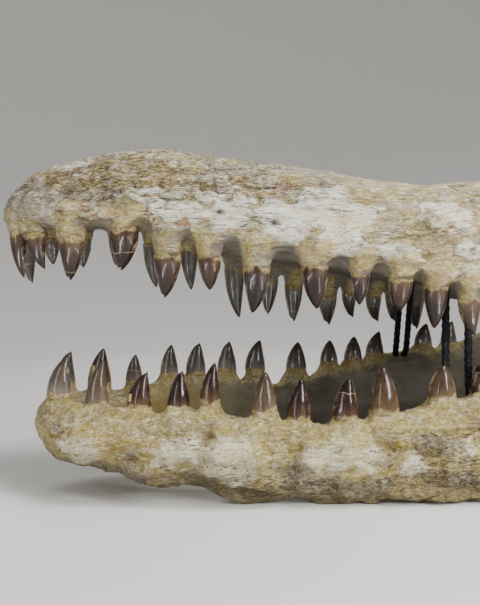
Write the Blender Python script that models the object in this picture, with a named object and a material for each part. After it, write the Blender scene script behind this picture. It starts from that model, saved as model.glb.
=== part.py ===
"""Fossil mosasaur skull with its jaws propped open: a fused cranium, two quadrates,
two halves of the lower jaw, 53 teeth and two steel props.

The frame has +X towards the back of the skull, -Y on the animal's left side and +Z up.
The origin is the centre of the skull's box, on the surface that the lower jaw stands on.
Lengths below are millimetres. A station is a distance back from the snout's tip.
"""

import math

import bmesh
import bpy
from mathutils import Matrix, Vector

MM = 0.001
LEFT, RIGHT = -1, 1

# Main sizes
SKULL_LENGTH = 1000.0
ROW_SPREAD = 5.6          # the tooth rows stand at this times the root of the station
ROW_STRAIGHT_FROM = 560.0  # behind here the sides run on nearly straight
ROW_STRAIGHT_SLOPE = 0.075
LOWER_ROW_INSET = 6.0     # the lower teeth bite inside the upper ones
SEAT_GAP = 0.4            # between a piece and what it rests on

# Profiles, each as (station, height)
ROOF = [(0, 298), (8, 312), (18, 324), (38, 338), (60, 347), (98, 357), (145, 363), (180, 362),
        (225, 356), (313, 348), (382, 339), (430, 332), (466, 333), (500, 336), (600, 341),
        (700, 340), (800, 335), (900, 328), (960, 323)]
UPPER_GUM = {
    LEFT: [(0, 287), (14, 283), (50, 288), (98, 287), (143, 274), (186, 265), (229, 253),
           (279, 246), (335, 238), (373, 233), (409, 226), (448, 218), (520, 207), (600, 198)],
    RIGHT: [(0, 287), (14, 283), (50, 287), (98, 285), (150, 281), (190, 273), (230, 259),
            (262, 247), (290, 237), (340, 230), (395, 220), (465, 212), (520, 206), (600, 197)],
}
LOWER_GUM = {
    LEFT: [(31, 84), (38, 97), (50, 104), (72, 101), (115, 97), (157, 94), (192, 98), (234, 88),
           (279, 86), (316, 83), (361, 87), (412, 96), (460, 107), (520, 116), (585, 126)],
    RIGHT: [(31, 84), (38, 96), (50, 101), (76, 99), (118, 97), (156, 102), (190, 110),
            (267, 110), (316, 104), (363, 108), (402, 117), (439, 120), (475, 131), (540, 134),
            (585, 136)],
}
LOWER_TOP_BEHIND = [(585, 0), (625, 16), (665, 45), (690, 44), (720, 26), (780, 10), (850, 0),
                    (885, -1), (907, -10), (943, -10), (960, -5), (980, -20), (1000, -42)]
LOWER_TOP_BEHIND_BASE = 132.0
LOWER_TOP_FADE = 200.0    # over this run the two sides' last gum heights come together
LOWER_BASE = [(31, 68), (36, 60), (42, 52), (57, 41), (80, 35), (105, 34), (121, 30), (146, 16),
              (166, 17), (185, 19), (210, 13), (228, 4), (245, 0), (262, 4), (280, 8), (296, 6),
              (318, 0), (560, 0), (800, 0), (900, 6), (960, 20), (1000, 42)]
CHIN_OUTSIDE = [(31, 12), (36, 28), (44, 42), (57, 54), (80, 64), (100, 71)]
SYMPHYSIS_END = 112.0

# Teeth, each as (station, length along the row, crown height, base height, lean of the tip)
UPPER_TEETH = {
    LEFT: [(16, 18, 46, 274, 3), (35, 20, 34, 271, 7), (70, 25, 43, 268, -4), (122, 28, 41, 276, -5),
           (164, 26, 41, 249, -4), (205, 22, 32, 248, 0), (251, 26, 44, 237, -4),
           (308, 26, 41, 238, 3), (353, 18, 30, 231, 0), (393, 24, 34, 226, -2),
           (429, 24, 42, 219, 0), (463, 22, 36, 206, 7), (506, 24, 38, 203, 4)],
    RIGHT: [(20, 18, 48, 269, 2), (44, 18, 27, 270, 1), (77, 20, 31, 270, -1),
            (118, 22, 34, 273, -2), (158, 22, 50, 267, 3), (203, 21, 48, 262, 1),
            (261, 25, 62, 241, 4), (307, 23, 44, 226, -4), (341, 23, 48, 219, -3),
            (389, 24, 38, 204, -1), (420, 19, 33, 208, 4), (456, 21, 35, 203, 5),
            (485, 19, 34, 203, 0), (521, 22, 42, 199, -2)],
}
LOWER_TEETH = {
    LEFT: [(56, 24, 40, 108, 8), (94, 22, 44, 97, 6), (136, 24, 37, 95, 7), (175, 22, 36, 95, 3),
           (206, 20, 41, 101, 5), (260, 25, 40, 93, 1), (294, 23, 40, 84, 4), (341, 26, 40, 87, 5),
           (380, 29, 46, 92, 0), (439, 27, 34, 107, 3), (482, 27, 33, 111, 2),
           (526, 25, 36, 121, 3), (566, 22, 32, 128, 3)],
    RIGHT: [(57, 23, 38, 108, 6), (95, 26, 44, 103, 4), (135, 19, 32, 106, 1),
            (177, 21, 35, 113, 2), (210, 24, 37, 111, 3), (250, 23, 38, 112, 1),
            (287, 25, 36, 114, 5), (343, 26, 34, 112, 1), (389, 23, 29, 118, 0),
            (424, 24, 31, 119, 0), (456, 24, 30, 124, 5), (530, 24, 29, 137, 3),
            (570, 22, 30, 139, 3)],
}
PREMAXILLARY_TEETH = 2    # the first teeth of each upper row stand in the premaxilla
CROWN_SIDEWAYS = 0.86     # a crown's thickness as a share of its length
CROWN_INWARD = 0.10       # the tip's lean towards the mouth, as a share of the height
CROWN_SIDES = 7           # of the crowns and of the roots that they stand on
CROWN_EDGE = 0.6          # how far a root's rim shows round its crown
CROWN_RINGS = [(0.0, 1.0), (0.36, 0.85), (0.72, 0.48)]   # (height, width) shares
ROOT_FLARE = 4.5          # how much wider a root is at the gum than at its crown
ROOT_SINK = 5.0           # how far inside the gum it is widest
ROOT_DEPTH = 18.0         # how far it reaches into the bone
ROOT_LEAST = 1.5          # how far a crown's base stands clear of the gum
ROOT_END = 0.7            # how wide a root's inner end is, as a share of its neck
CROWN_CURVE = 1.6         # the power of the height with which a crown leans over
SOCKET_BULGE = 3.0        # how far the jaw swells outside each root
SOCKET_REACH = 20.0       # how far past the first and last teeth that swelling fades out

SIDE_NAME = {LEFT: "left", RIGHT: "right"}


def along(points, station):
    """The smooth curve through hand-placed (station, value) points."""
    if station <= points[0][0]:
        return float(points[0][1])
    if station >= points[-1][0]:
        return float(points[-1][1])
    i = max(k for k, p in enumerate(points) if p[0] <= station)
    (x0, y0), (x1, y1) = points[i], points[i + 1]

    def slope(k):
        before, after = points[max(k - 1, 0)], points[min(k + 1, len(points) - 1)]
        return (after[1] - before[1]) / (after[0] - before[0])

    run = x1 - x0
    u = (station - x0) / run
    return ((2 * u**3 - 3 * u**2 + 1) * y0 + (u**3 - 2 * u**2 + u) * run * slope(i)
            + (3 * u**2 - 2 * u**3) * y1 + (u**3 - u**2) * run * slope(i + 1))


def straight(points, station):
    """The broken line through (station, value) points."""
    for (x0, y0), (x1, y1) in zip(points, points[1:]):
        if station <= x1:
            return y0 + (y1 - y0) * max(station - x0, 0) / (x1 - x0)
    return float(points[-1][1])


def row_half_width(station):
    """Distance of the upper tooth row from the middle plane."""
    if station <= ROW_STRAIGHT_FROM:
        return ROW_SPREAD * math.sqrt(station + 1)
    reach = ROW_SPREAD * math.sqrt(ROW_STRAIGHT_FROM + 1)
    return reach + ROW_STRAIGHT_SLOPE * (station - ROW_STRAIGHT_FROM)


def lower_half_width(station):
    return row_half_width(station) - LOWER_ROW_INSET


def lower_gum(side, station):
    """The top of the lower jaw: the gum, then the coronoid process and the joint's socket."""
    last, height = LOWER_GUM[side][-1]
    if station <= last:
        return along(LOWER_GUM[side], station)
    fade = max(0.0, 1 - (station - last) / LOWER_TOP_FADE)
    extra = (height - LOWER_TOP_BEHIND_BASE) * fade
    return LOWER_TOP_BEHIND_BASE + extra + along(LOWER_TOP_BEHIND, station)


def place(station, sideways, height):
    """A point of the skull in the part's own frame, in metres."""
    return Vector(((station - SKULL_LENGTH / 2) * MM, sideways * MM, height * MM))


def material(name, colour, roughness, metallic=0.0):
    made = bpy.data.materials.new(name)
    made.use_nodes = True
    shader = made.node_tree.nodes["Principled BSDF"]
    shader.inputs["Base Color"].default_value = (*colour, 1.0)
    shader.inputs["Roughness"].default_value = roughness
    shader.inputs["Metallic"].default_value = metallic
    return made


def add_object(name, bm, finish, helper=False):
    """An object from a bmesh. A helper is only an operand of another piece's Boolean."""
    bmesh.ops.recalc_face_normals(bm, faces=bm.faces)
    mesh = bpy.data.meshes.new(name)
    bm.to_mesh(mesh)
    bm.free()
    mesh.shade_smooth()
    mesh.set_sharp_from_angle(angle=math.radians(40))
    made = bpy.data.objects.new(name, mesh)
    made.data.materials.append(finish)
    bpy.context.scene.collection.objects.link(made)
    if helper:
        made.hide_render = True
        made.display_type = "WIRE"
    return made


def loft(name, rings, finish, helper=False):
    """A closed solid through rings of equally many points, with flat ends."""
    bm = bmesh.new()
    loops = [[bm.verts.new(p) for p in ring] for ring in rings]
    for first, second in zip(loops, loops[1:]):
        for i, vertex in enumerate(first):
            j = (i + 1) % len(first)
            bm.faces.new((vertex, first[j], second[j], second[i]))
    bm.faces.new(loops[0])
    bm.faces.new(loops[-1])
    return add_object(name, bm, finish, helper)


def join(piece, others, operation="UNION"):
    """Joins or cuts a piece by others, with one Boolean over all of them."""
    group = bpy.data.collections.new(piece.name + "_" + operation.lower())
    bpy.context.scene.collection.children.link(group)
    for other in others:
        bpy.context.scene.collection.objects.unlink(other)
        group.objects.link(other)
    modifier = piece.modifiers.new(operation.title(), "BOOLEAN")
    modifier.operation = operation
    modifier.operand_type = "COLLECTION"
    modifier.collection = group
    modifier.solver = "EXACT"


def tooth_foot(side, jaw, tooth):
    """Where a crown stands on its root: the point, the row's turn and the root's length."""
    station, base = tooth[0], tooth[3]
    if jaw == "upper":
        width, gum = row_half_width, along(UPPER_GUM[side], station)
        height = min(base, gum - ROOT_LEAST)
    else:
        width, gum = lower_half_width, lower_gum(side, station)
        height = max(base, gum + ROOT_LEAST)
    turn = math.atan2(width(station + 1) - width(station - 1), 2.0) * side
    return side * width(station), height, turn, abs(height - gum)


def root_cone(name, side, jaw, tooth, finish):
    """The swollen root that carries a crown: widest at the gum, narrower inside the bone."""
    station, length = tooth[:2]
    sideways, height, turn, root = tooth_foot(side, jaw, tooth)
    up = 1 if jaw == "lower" else -1
    neck = length / 2 + CROWN_EDGE
    rings = []
    for depth, radius in ((0, neck), (root + ROOT_SINK, neck + ROOT_FLARE),
                          (root + ROOT_DEPTH, neck * ROOT_END)):
        ring = []
        for i in range(CROWN_SIDES):
            angle = math.tau * i / CROWN_SIDES
            x, y = radius * math.cos(angle), radius * CROWN_SIDEWAYS * math.sin(angle)
            turned = Matrix.Rotation(turn, 2) @ Vector((x, y))
            ring.append(place(station + turned.x, sideways + turned.y, height - up * depth))
        rings.append(ring)
    return loft(name, rings, finish, helper=True)


def crown(name, side, jaw, tooth, finish):
    """An enamel crown: a pointed cone, thinner sideways, that curves back and inwards."""
    station, length, tall, _, lean = tooth
    sideways, height, turn, _ = tooth_foot(side, jaw, tooth)
    up = 1 if jaw == "lower" else -1
    inward = -up * side * CROWN_INWARD * tall

    def centre(share):
        bent = share**CROWN_CURVE
        return Vector((lean * bent, inward * bent, tall * share)) * MM

    bm = bmesh.new()
    loops = []
    for share, wide in CROWN_RINGS:
        radius = length / 2 * wide * MM
        loop = []
        for i in range(CROWN_SIDES):
            angle = math.tau * i / CROWN_SIDES * up
            x, y = radius * math.cos(angle), radius * CROWN_SIDEWAYS * math.sin(angle)
            loop.append(bm.verts.new(centre(share) + Vector((x, y, 0))))
        loops.append(loop)
    tip = bm.verts.new(centre(1.0))
    for first, second in zip(loops, loops[1:]):
        for i, vertex in enumerate(first):
            j = (i + 1) % CROWN_SIDES
            bm.faces.new((vertex, first[j], second[j], second[i]))
    for i, vertex in enumerate(loops[-1]):
        bm.faces.new((vertex, loops[-1][(i + 1) % CROWN_SIDES], tip))
    bm.faces.new(loops[0])
    made = add_object(name, bm, finish)
    made.location = place(station, sideways, height + up * SEAT_GAP)
    made.rotation_euler = (0 if up > 0 else math.pi, 0, turn)
    return made


def swelling(teeth, station):
    """1 at a tooth's station, falling to 0 midway between two teeth."""
    stations = [tooth[0] for tooth in teeth]
    if not stations[0] < station < stations[-1]:
        return max(0.0, 1 - min(abs(station - s) for s in stations) / SOCKET_REACH)
    i = max(k for k, s in enumerate(stations) if s <= station)
    share = (station - stations[i]) / (stations[i + 1] - stations[i])
    return 0.5 + 0.5 * math.cos(math.tau * share)


def at_and_between(teeth):
    """The stations of the teeth and of the middles between them, in order."""
    stations = [tooth[0] for tooth in teeth]
    middles = [(first + second) / 2 for first, second in zip(stations, stations[1:])]
    return sorted(stations + middles)


QUADRATE_TOP = 285.0

# Cranium

SNOUT_FRONT = [0, 4, 9]
SNOUT_REAR = [550, 604]
HOLLOW = [(604, 0.8), (545, 0.6)]     # the hollow in the snout's back, as (station, scale)
HOLLOW_HEIGHT = 312.0
LIP_HALF = 12.0           # half the width of the bone that the upper teeth stand in
LIP_AT_TIP = 0.34         # and that width at the snout's tip, as a share
PALATE_RISE = 18.0
SNOUT_TAPER = 60.0        # the lips and the palate reach their full size at this station
SHEET_THICK = 20.0
SHEET_STATIONS = [560, 604, 636, 692, 746, 776, 838, 902, 938]
PARIETAL_EDGE = [(560, 40), (636, 42), (692, 44), (746, 42), (776, 34), (838, 20), (902, 36),
                 (938, 66)]
ARCH_INNER_EDGE = [(560, 80), (636, 80), (692, 82), (746, 92), (776, 104), (838, 122),
                   (902, 124), (938, 128)]
ROOF_EDGE = [(560, 106), (604, 110), (636, 110), (692, 114), (746, 130), (776, 142),
             (838, 156), (902, 162), (938, 166)]
JUGAL_EDGE = [(560, 206), (604, 197), (636, 189), (692, 183), (746, 188), (776, 200)]
REAR_SWEEP = [(838, 0), (902, 22), (938, 36)]    # how far the corners reach behind the middle
SHEET_LAP, SHEET_SINK = 0.96, 5.0    # how the sheet's front tucks under the snout's surface
# How far the sheet's lines lie under the roof's height, from the parietal to the brow's foot
PARIETAL_DROP, ARCH_DROP, EDGE_DROP, BROW_DROP = 2.0, 9.0, 20.0, 48.0
BROW_OUT = 12.0           # how far the brow's foot stands outside the roof's edge
CHEEK_OUT = 12.0          # how far the cheek stands outside the tooth row
JUGAL_TALL = 30.0
ORBIT = (636, 746)
FENESTRA = (776, 902)


def lip_half(station):
    return LIP_HALF * min(1.0, LIP_AT_TIP + station / SNOUT_TAPER)


def snout_half_ring(side, station):
    """One side of the snout's section, from the roof's middle down and in to the palate."""
    half, lip = row_half_width(station), lip_half(station)
    roof, gum = along(ROOF, station), along(UPPER_GUM[side], station)
    tall = roof - gum
    middle_gum = (along(UPPER_GUM[LEFT], station) + along(UPPER_GUM[RIGHT], station)) / 2
    rise = PALATE_RISE * min(1.0, station / SNOUT_TAPER)
    bulge = SOCKET_BULGE * swelling(UPPER_TEETH[side], station)
    section = [
        (0, roof), (0.4 * half, roof - 0.02 * tall), (0.72 * half, roof - 0.15 * tall),
        (0.93 * half, roof - 0.38 * tall), (half + 0.4 * lip, roof - 0.65 * tall),
        (half + lip + bulge, gum + 0.15 * tall), (half + 0.9 * lip + bulge, gum),
        (max(half - lip - bulge, 0.45 * half), gum),
        (max(half - 1.6 * lip, 0.3 * half), gum + rise * 0.8), (0, middle_gum + rise)]
    return [place(station, side * across, height) for across, height in section]


def snout(finish):
    """The snout as one closed shape, hollowed from behind."""
    rings = []
    for station in SNOUT_FRONT + at_and_between(UPPER_TEETH[LEFT]) + SNOUT_REAR:
        left, right = snout_half_ring(LEFT, station), snout_half_ring(RIGHT, station)
        rings.append(left + right[-2:0:-1])
    rim = rings[-1]
    middle = place(SNOUT_REAR[-1], 0, HOLLOW_HEIGHT)
    for station, scale in HOLLOW:
        shift = Vector(((station - SNOUT_REAR[-1]) * MM, 0, 0))
        rings.append([middle + (point - middle) * scale + shift for point in rim])
    return loft("cranium", rings, finish)


def roof_point(side, column, station):
    """A point of the sheet of bone behind the snout: columns 0 to 6, middle to jugal."""
    roof, side_wall = along(ROOF, station), row_half_width(station) + CHEEK_OUT
    edge, jugal = straight(ROOF_EDGE, station), straight(JUGAL_EDGE, station)
    points = [
        (0, roof), (straight(PARIETAL_EDGE, station), roof - PARIETAL_DROP),
        (straight(ARCH_INNER_EDGE, station), roof - ARCH_DROP), (edge, roof - EDGE_DROP),
        (edge + BROW_OUT, roof - BROW_DROP), (side_wall, jugal + JUGAL_TALL),
        (side_wall, jugal)]
    across, height = points[column]
    if station <= SNOUT_REAR[-1]:
        across, height = across * SHEET_LAP, height - SHEET_SINK
    if station > REAR_SWEEP[0][0]:
        station += straight(REAR_SWEEP, station) * (across / ROOF_EDGE[-1][1]) ** 2
    return place(station, side * across, height)


def sheet_has_face(column, start, end):
    """Whether bone fills this cell: not in the orbit, the temple's openings or below them."""
    if column == 1 and FENESTRA[0] <= start and end <= FENESTRA[1]:
        return False
    if column in (3, 4) and ORBIT[0] <= start and end <= ORBIT[1]:
        return False
    return column < 3 or end <= FENESTRA[0]


def back_of_skull(finish):
    """The skull's roof and cheeks behind the snout, with orbits and temporal openings."""
    bm = bmesh.new()
    grid = {}

    def corner(side, column, station):
        key = (side if column else 0, column, station)
        if key not in grid:
            grid[key] = bm.verts.new(roof_point(side, column, station))
        return grid[key]

    for side in (LEFT, RIGHT):
        for start, end in zip(SHEET_STATIONS, SHEET_STATIONS[1:]):
            for column in range(6):
                if sheet_has_face(column, start, end):
                    face = [corner(side, column, start), corner(side, column + 1, start),
                            corner(side, column + 1, end), corner(side, column, end)]
                    bm.faces.new(face if side == LEFT else face[::-1])
    made = add_object("back_of_skull", bm, finish, helper=True)
    if made.data.polygons[0].normal.z < 0:
        made.data.flip_normals()
    thick = made.modifiers.new("Thickness", "SOLIDIFY")
    thick.thickness = SHEET_THICK * MM
    thick.offset = -1.0
    rounded = made.modifiers.new("Rounded bars", "SUBSURF")
    rounded.levels = 1
    rounded.render_levels = 1
    return made


# Braincase sections as (station, half width, top, bottom)
BRAINCASE = [(790, 20, 322, 282), (830, 30, 322, 256), (880, 34, 318, 246), (915, 30, 312, 250),
             (925, 17, 286, 254), (946, 13, 282, 258)]
# A pterygoid's middle line as (station, sideways, height), then its half width and half height
PTERYGOID = [(560, 46, 226, 22, 9), (650, 50, 212, 20, 8), (720, 58, 204, 19, 8),
             (790, 74, 198, 17, 9), (850, 98, 196, 9, 13), (898, 122, 194, 6, 13)]
# The cup under each rear corner that a quadrate hangs from: station, sideways, top and radii
QUADRATE_CUP = (930, 150, 312, 27, 19)
QUADRATE_CUP_SIDES = 10
# A bridge from the braincase down to each pterygoid, with its half length and half height
PTERYGOID_BRIDGE = [(812, 8, 277, 10, 8), (812, 26, 260, 10, 8), (808, 50, 230, 10, 8),
                    (804, 80, 198, 9, 7)]


def braincase(finish):
    rings = []
    for station, half, top, bottom in BRAINCASE:
        middle = (top + bottom) / 2
        ring = [(-0.6, top), (0.6, top), (1, middle), (0.62, bottom), (-0.62, bottom), (-1, middle)]
        rings.append([place(station, half * across, height) for across, height in ring])
    return loft("braincase", rings, finish, helper=True)


BAR_SECTION = [(-1, 0), (-0.5, 1), (0.5, 1), (1, 0), (0.5, -1), (-0.5, -1)]


def beam(name, side, line, finish):
    """A flattened bar along a line of (station, sideways, height, half width, half height)."""
    rings = []
    for station, sideways, height, wide, tall in line:
        rings.append([place(station, side * (sideways + x * wide), height + z * tall)
                      for x, z in BAR_SECTION])
    return loft(name, rings, finish, helper=True)


def bridge(name, side, line, finish):
    """A bar that runs sideways, along (station, sideways, height, half length, half height)."""
    rings = []
    for station, sideways, height, long, tall in line:
        rings.append([place(station + x * long, side * sideways, height + z * tall)
                      for x, z in BAR_SECTION])
    return loft(name, rings, finish, helper=True)


def quadrate_cup(side, finish):
    station, sideways, top, wide, narrow = QUADRATE_CUP
    rings = []
    for height, scale in ((QUADRATE_TOP + SEAT_GAP, 1.0), (top, 0.8)):
        rings.append([
            place(station + wide * scale * math.cos(angle),
                  side * sideways + narrow * scale * math.sin(angle), height)
            for angle in (math.tau * i / QUADRATE_CUP_SIDES for i in range(QUADRATE_CUP_SIDES))])
    return loft("quadrate_cup", rings, finish, helper=True)


# A naris is a long pit in the roof: its station, length, distance out, width and depth
NARIS = (372, 150, 22, 20, 26)


def naris_cutter(side, finish):
    station, long, sideways, wide, deep = NARIS
    bm = bmesh.new()
    bmesh.ops.create_uvsphere(bm, u_segments=8, v_segments=6, radius=1.0)
    for vertex in bm.verts:
        x, y, z = vertex.co
        vertex.co = place(station + x * long / 2, side * sideways + y * wide / 2,
                          along(ROOF, station + x * long / 2) + z * deep)
    return add_object("naris_cutter", bm, finish, helper=True)


def cranium(finish):
    made = snout(finish)
    parts = [back_of_skull(finish), braincase(finish)]
    for side in (LEFT, RIGHT):
        parts.append(beam("pterygoid", side, PTERYGOID, finish))
        parts.append(bridge("pterygoid_bridge", side, PTERYGOID_BRIDGE, finish))
        parts.append(quadrate_cup(side, finish))
        parts += [root_cone("root", side, "upper", tooth, finish) for tooth in UPPER_TEETH[side]]
    join(made, [naris_cutter(side, finish) for side in (LEFT, RIGHT)], "DIFFERENCE")
    join(made, parts)
    return made


# Quadrate: a C in side view, as (station, height), with its half thickness
QUADRATE_OUTLINE = [
    (909, 122.4), (941, 122.4), (947, 136), (938, 154), (933, 180), (936, 204), (950, 216),
    (961, 209), (972, 220), (974, 246), (964, 272), (948, QUADRATE_TOP), (912, QUADRATE_TOP),
    (896, 272), (890, 246), (899, 210), (905, 176), (902, 142)]
QUADRATE_SIDEWAYS = 150.0
QUADRATE_HALF = 17.0
QUADRATE_BEVEL = 5.0


def quadrate(side, finish):
    """The bone that hangs the lower jaw from the cranium's rear corner."""
    bm = bmesh.new()
    outline = [bm.verts.new(place(station, side * (QUADRATE_SIDEWAYS - QUADRATE_HALF), height))
               for station, height in QUADRATE_OUTLINE]
    face = bm.faces.new(outline)
    grown = bmesh.ops.extrude_face_region(bm, geom=[face])
    moved = [v for v in grown["geom"] if isinstance(v, bmesh.types.BMVert)]
    bmesh.ops.translate(bm, vec=(0, side * 2 * QUADRATE_HALF * MM, 0), verts=moved)
    made = add_object(SIDE_NAME[side] + "_quadrate", bm, finish)
    bevel = made.modifiers.new("Rounded edges", "BEVEL")
    bevel.width = QUADRATE_BEVEL * MM
    bevel.segments = 1
    bevel.limit_method = "ANGLE"
    bevel.angle_limit = math.radians(50)
    return made


# Lower jaw

RAMUS_FRONT = [31, 36, 44]
RAMUS_REAR = [596, 628, 662, 690, 720, 780, 850, 885, 907, 943, 962, 982, 1000]
RAMUS_OUTSIDE = 18.0      # how far the jaw's outer face stands out from the tooth row
RAMUS_INSIDE = 22.0
SYMPHYSIS_GAP = 0.4
SYMPHYSIS_FADE = 60.0     # behind the symphysis the inner faces part over this run
SHELF_DROP = 7.0          # how far the inner shelf lies under the gum
SHELF_FROM, SHELF_FULL = 25.0, 60.0
LIP_REACH = 12.0          # from the tooth row to either edge of the jaw's top
FOOT_INSET = 2.0          # the foot stands this far inside the tooth row
FOOT_HALF = 8.0           # half the width of the strip that the jaw rests on
# How thin the jaw gets behind the teeth, as (station, share)
RAMUS_SLIM = [(31, 1.0), (540, 1.0), (640, 0.72), (760, 0.62), (860, 0.64), (907, 0.95),
              (943, 0.95), (970, 0.6), (1000, 0.38)]


def ramus_ring(side, station):
    """The section of one half of the lower jaw, from its outer top edge down and round."""
    top, base = lower_gum(side, station), along(LOWER_BASE, station)
    base = max(base, 0.0)
    half = lower_half_width(station)
    slim = along(RAMUS_SLIM, station)
    tall = top - base
    bulge = SOCKET_BULGE * swelling(LOWER_TEETH[side], station)
    outside = half + RAMUS_OUTSIDE * slim + bulge
    inside = half - RAMUS_INSIDE * slim
    if station < CHIN_OUTSIDE[-1][0]:
        outside = along(CHIN_OUTSIDE, station)
        half = min(half, outside - LIP_REACH / 2)
    if station < SYMPHYSIS_END:
        inside = SYMPHYSIS_GAP
    else:
        blend = min(1.0, (station - SYMPHYSIS_END) / SYMPHYSIS_FADE)
        inside = SYMPHYSIS_GAP + (inside - SYMPHYSIS_GAP) * blend**0.6
    lip_out = min(half + LIP_REACH * slim, outside - 1)
    lip_in = max(half - LIP_REACH * slim, inside + 0.3 * (outside - inside))
    shelf = SHELF_DROP * min(1.0, (station - SHELF_FROM) / SHELF_FULL)
    foot = half - FOOT_INSET
    section = [
        (lip_out, top), (outside, top - 0.22 * tall), (outside + 1, top - 0.5 * tall),
        (outside - 4, top - 0.8 * tall), (foot + FOOT_HALF, base), (foot - FOOT_HALF, base),
        (inside + 3, top - 0.78 * tall), (inside, top - 0.45 * tall), (inside, top - shelf - 4),
        (lip_in, top - 1)]
    if station < SYMPHYSIS_END:
        middle = (inside + outside) / 2
        section[4] = (middle + 0.25 * (outside - inside), base)
        section[5] = (inside, base + 0.03 * tall)
        section[6] = (inside, top - 0.7 * tall)
    return [place(station, side * across, height) for across, height in section]


def ramus(side, finish):
    stations = RAMUS_FRONT + at_and_between(LOWER_TEETH[side]) + RAMUS_REAR
    rings = [ramus_ring(side, station) for station in stations]
    made = loft(SIDE_NAME[side] + "_lower_jaw", rings, finish)
    join(made, [root_cone("root", side, "lower", tooth, finish) for tooth in LOWER_TEETH[side]])
    return made


# Props: each is one steel rod bent into a U, its run on the jaw's inner shelf.
# (stations of the two legs, inset of the foot and of the head from each tooth row)
PROPS = {LEFT: (450, 476, 18.5, 30.0), RIGHT: (481, 496, 18.5, 30.0)}
PROP_RADIUS = 4.0
PROP_HEAD_GAP = 1.2       # from a head to the palate
PROP_HEAD_BACK = 3.0      # how far a head leans back from its foot
PROP_HEAD_RISE = 0.8      # the palate's height over a head, as a share of its rise
PROP_SHELF = 0.35         # where the run lies between the gum and the inner shelf
PROP_KNEE = (0.4, 7.0)    # a knee's place in from the foot and above it
PROP_BEND = 3.0           # how far along the run the lower bend reaches


def prop(side, finish):
    """A rod that runs along the lower jaw and stands up at both ends to carry the palate."""
    first, second, foot_inset, head_inset = PROPS[side]
    line = []
    for station, order in ((first, 1), (second, -1)):
        floor = max(lower_gum(side, s) for s in (first, second)) - SHELF_DROP * PROP_SHELF
        foot = (station, lower_half_width(station) - foot_inset, floor + PROP_RADIUS + SEAT_GAP)
        gum = along(UPPER_GUM[side], station)
        head = (station + PROP_HEAD_BACK, row_half_width(station) - head_inset,
                gum + PROP_HEAD_RISE * PALATE_RISE - PROP_HEAD_GAP)
        knee = (station, foot[1] - PROP_KNEE[0], foot[2] + PROP_KNEE[1])
        bend = (station + order * PROP_BEND, foot[1], foot[2])
        line += [head, knee, bend][::order]
    curve = bpy.data.curves.new(SIDE_NAME[side] + "_prop", "CURVE")
    curve.dimensions = "3D"
    curve.bevel_depth = PROP_RADIUS * MM
    curve.bevel_resolution = 2
    curve.use_fill_caps = True
    spline = curve.splines.new("POLY")
    spline.points.add(len(line) - 1)
    for point, (station, across, height) in zip(spline.points, line):
        point.co = (*place(station, side * across, height), 1.0)
    made = bpy.data.objects.new(SIDE_NAME[side] + "_prop", curve)
    curve.materials.append(finish)
    bpy.context.scene.collection.objects.link(made)
    return made


def tooth_name(side, jaw, index):
    if jaw == "lower":
        return f"{SIDE_NAME[side]}_dentary_tooth_{index + 1}"
    if index < PREMAXILLARY_TEETH:
        return f"{SIDE_NAME[side]}_premaxillary_tooth_{index + 1}"
    return f"{SIDE_NAME[side]}_maxillary_tooth_{index + 1 - PREMAXILLARY_TEETH}"


def main():
    for old in list(bpy.data.objects):
        bpy.data.objects.remove(old)
    bone = material("fossil_bone", (0.62, 0.55, 0.42), 0.75)
    jaw_bone = material("jaw_bone", (0.60, 0.53, 0.38), 0.78)
    enamel = material("tooth_enamel", (0.16, 0.08, 0.05), 0.25)
    steel = material("black_steel", (0.03, 0.03, 0.03), 0.5, 0.8)
    cranium(bone)
    for side in (LEFT, RIGHT):
        quadrate(side, bone)
        ramus(side, jaw_bone)
        prop(side, steel)
        for jaw, rows in (("upper", UPPER_TEETH), ("lower", LOWER_TEETH)):
            for index, tooth in enumerate(rows[side]):
                crown(tooth_name(side, jaw, index), side, jaw, tooth, enamel)


main()
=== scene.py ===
"""The looks of a fossil mosasaur skull: weathered bone, sandy matrix round the tooth roots,
dark enamel crowns and rough steel props, dressed round the skull's solids.

Lengths are metres unless a name says otherwise. +X runs towards the back of the skull,
-Y is the animal's left side, which the camera sees, and +Z is up.
"""

import math

import bmesh
import bpy
import numpy as np
from mathutils import Matrix, Vector
from mathutils.bvhtree import BVHTree


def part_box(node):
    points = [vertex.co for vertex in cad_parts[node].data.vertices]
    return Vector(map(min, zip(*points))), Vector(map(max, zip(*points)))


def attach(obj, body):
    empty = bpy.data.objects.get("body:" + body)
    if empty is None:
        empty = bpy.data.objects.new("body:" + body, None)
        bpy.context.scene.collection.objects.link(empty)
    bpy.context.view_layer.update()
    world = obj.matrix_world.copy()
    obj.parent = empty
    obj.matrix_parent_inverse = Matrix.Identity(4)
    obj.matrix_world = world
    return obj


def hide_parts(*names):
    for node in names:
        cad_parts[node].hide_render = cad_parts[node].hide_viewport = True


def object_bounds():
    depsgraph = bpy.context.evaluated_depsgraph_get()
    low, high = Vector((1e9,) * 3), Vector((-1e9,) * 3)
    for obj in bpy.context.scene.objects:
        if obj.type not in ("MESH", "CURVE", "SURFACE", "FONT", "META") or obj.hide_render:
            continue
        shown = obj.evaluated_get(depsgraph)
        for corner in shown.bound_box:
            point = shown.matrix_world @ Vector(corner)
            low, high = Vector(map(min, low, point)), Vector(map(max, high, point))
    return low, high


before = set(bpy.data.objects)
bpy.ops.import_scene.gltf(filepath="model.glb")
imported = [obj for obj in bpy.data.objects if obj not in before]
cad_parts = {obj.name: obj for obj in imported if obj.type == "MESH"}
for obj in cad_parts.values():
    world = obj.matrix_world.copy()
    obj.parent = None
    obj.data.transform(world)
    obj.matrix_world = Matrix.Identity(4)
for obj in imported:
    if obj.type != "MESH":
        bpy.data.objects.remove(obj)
cad_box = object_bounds()

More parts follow.
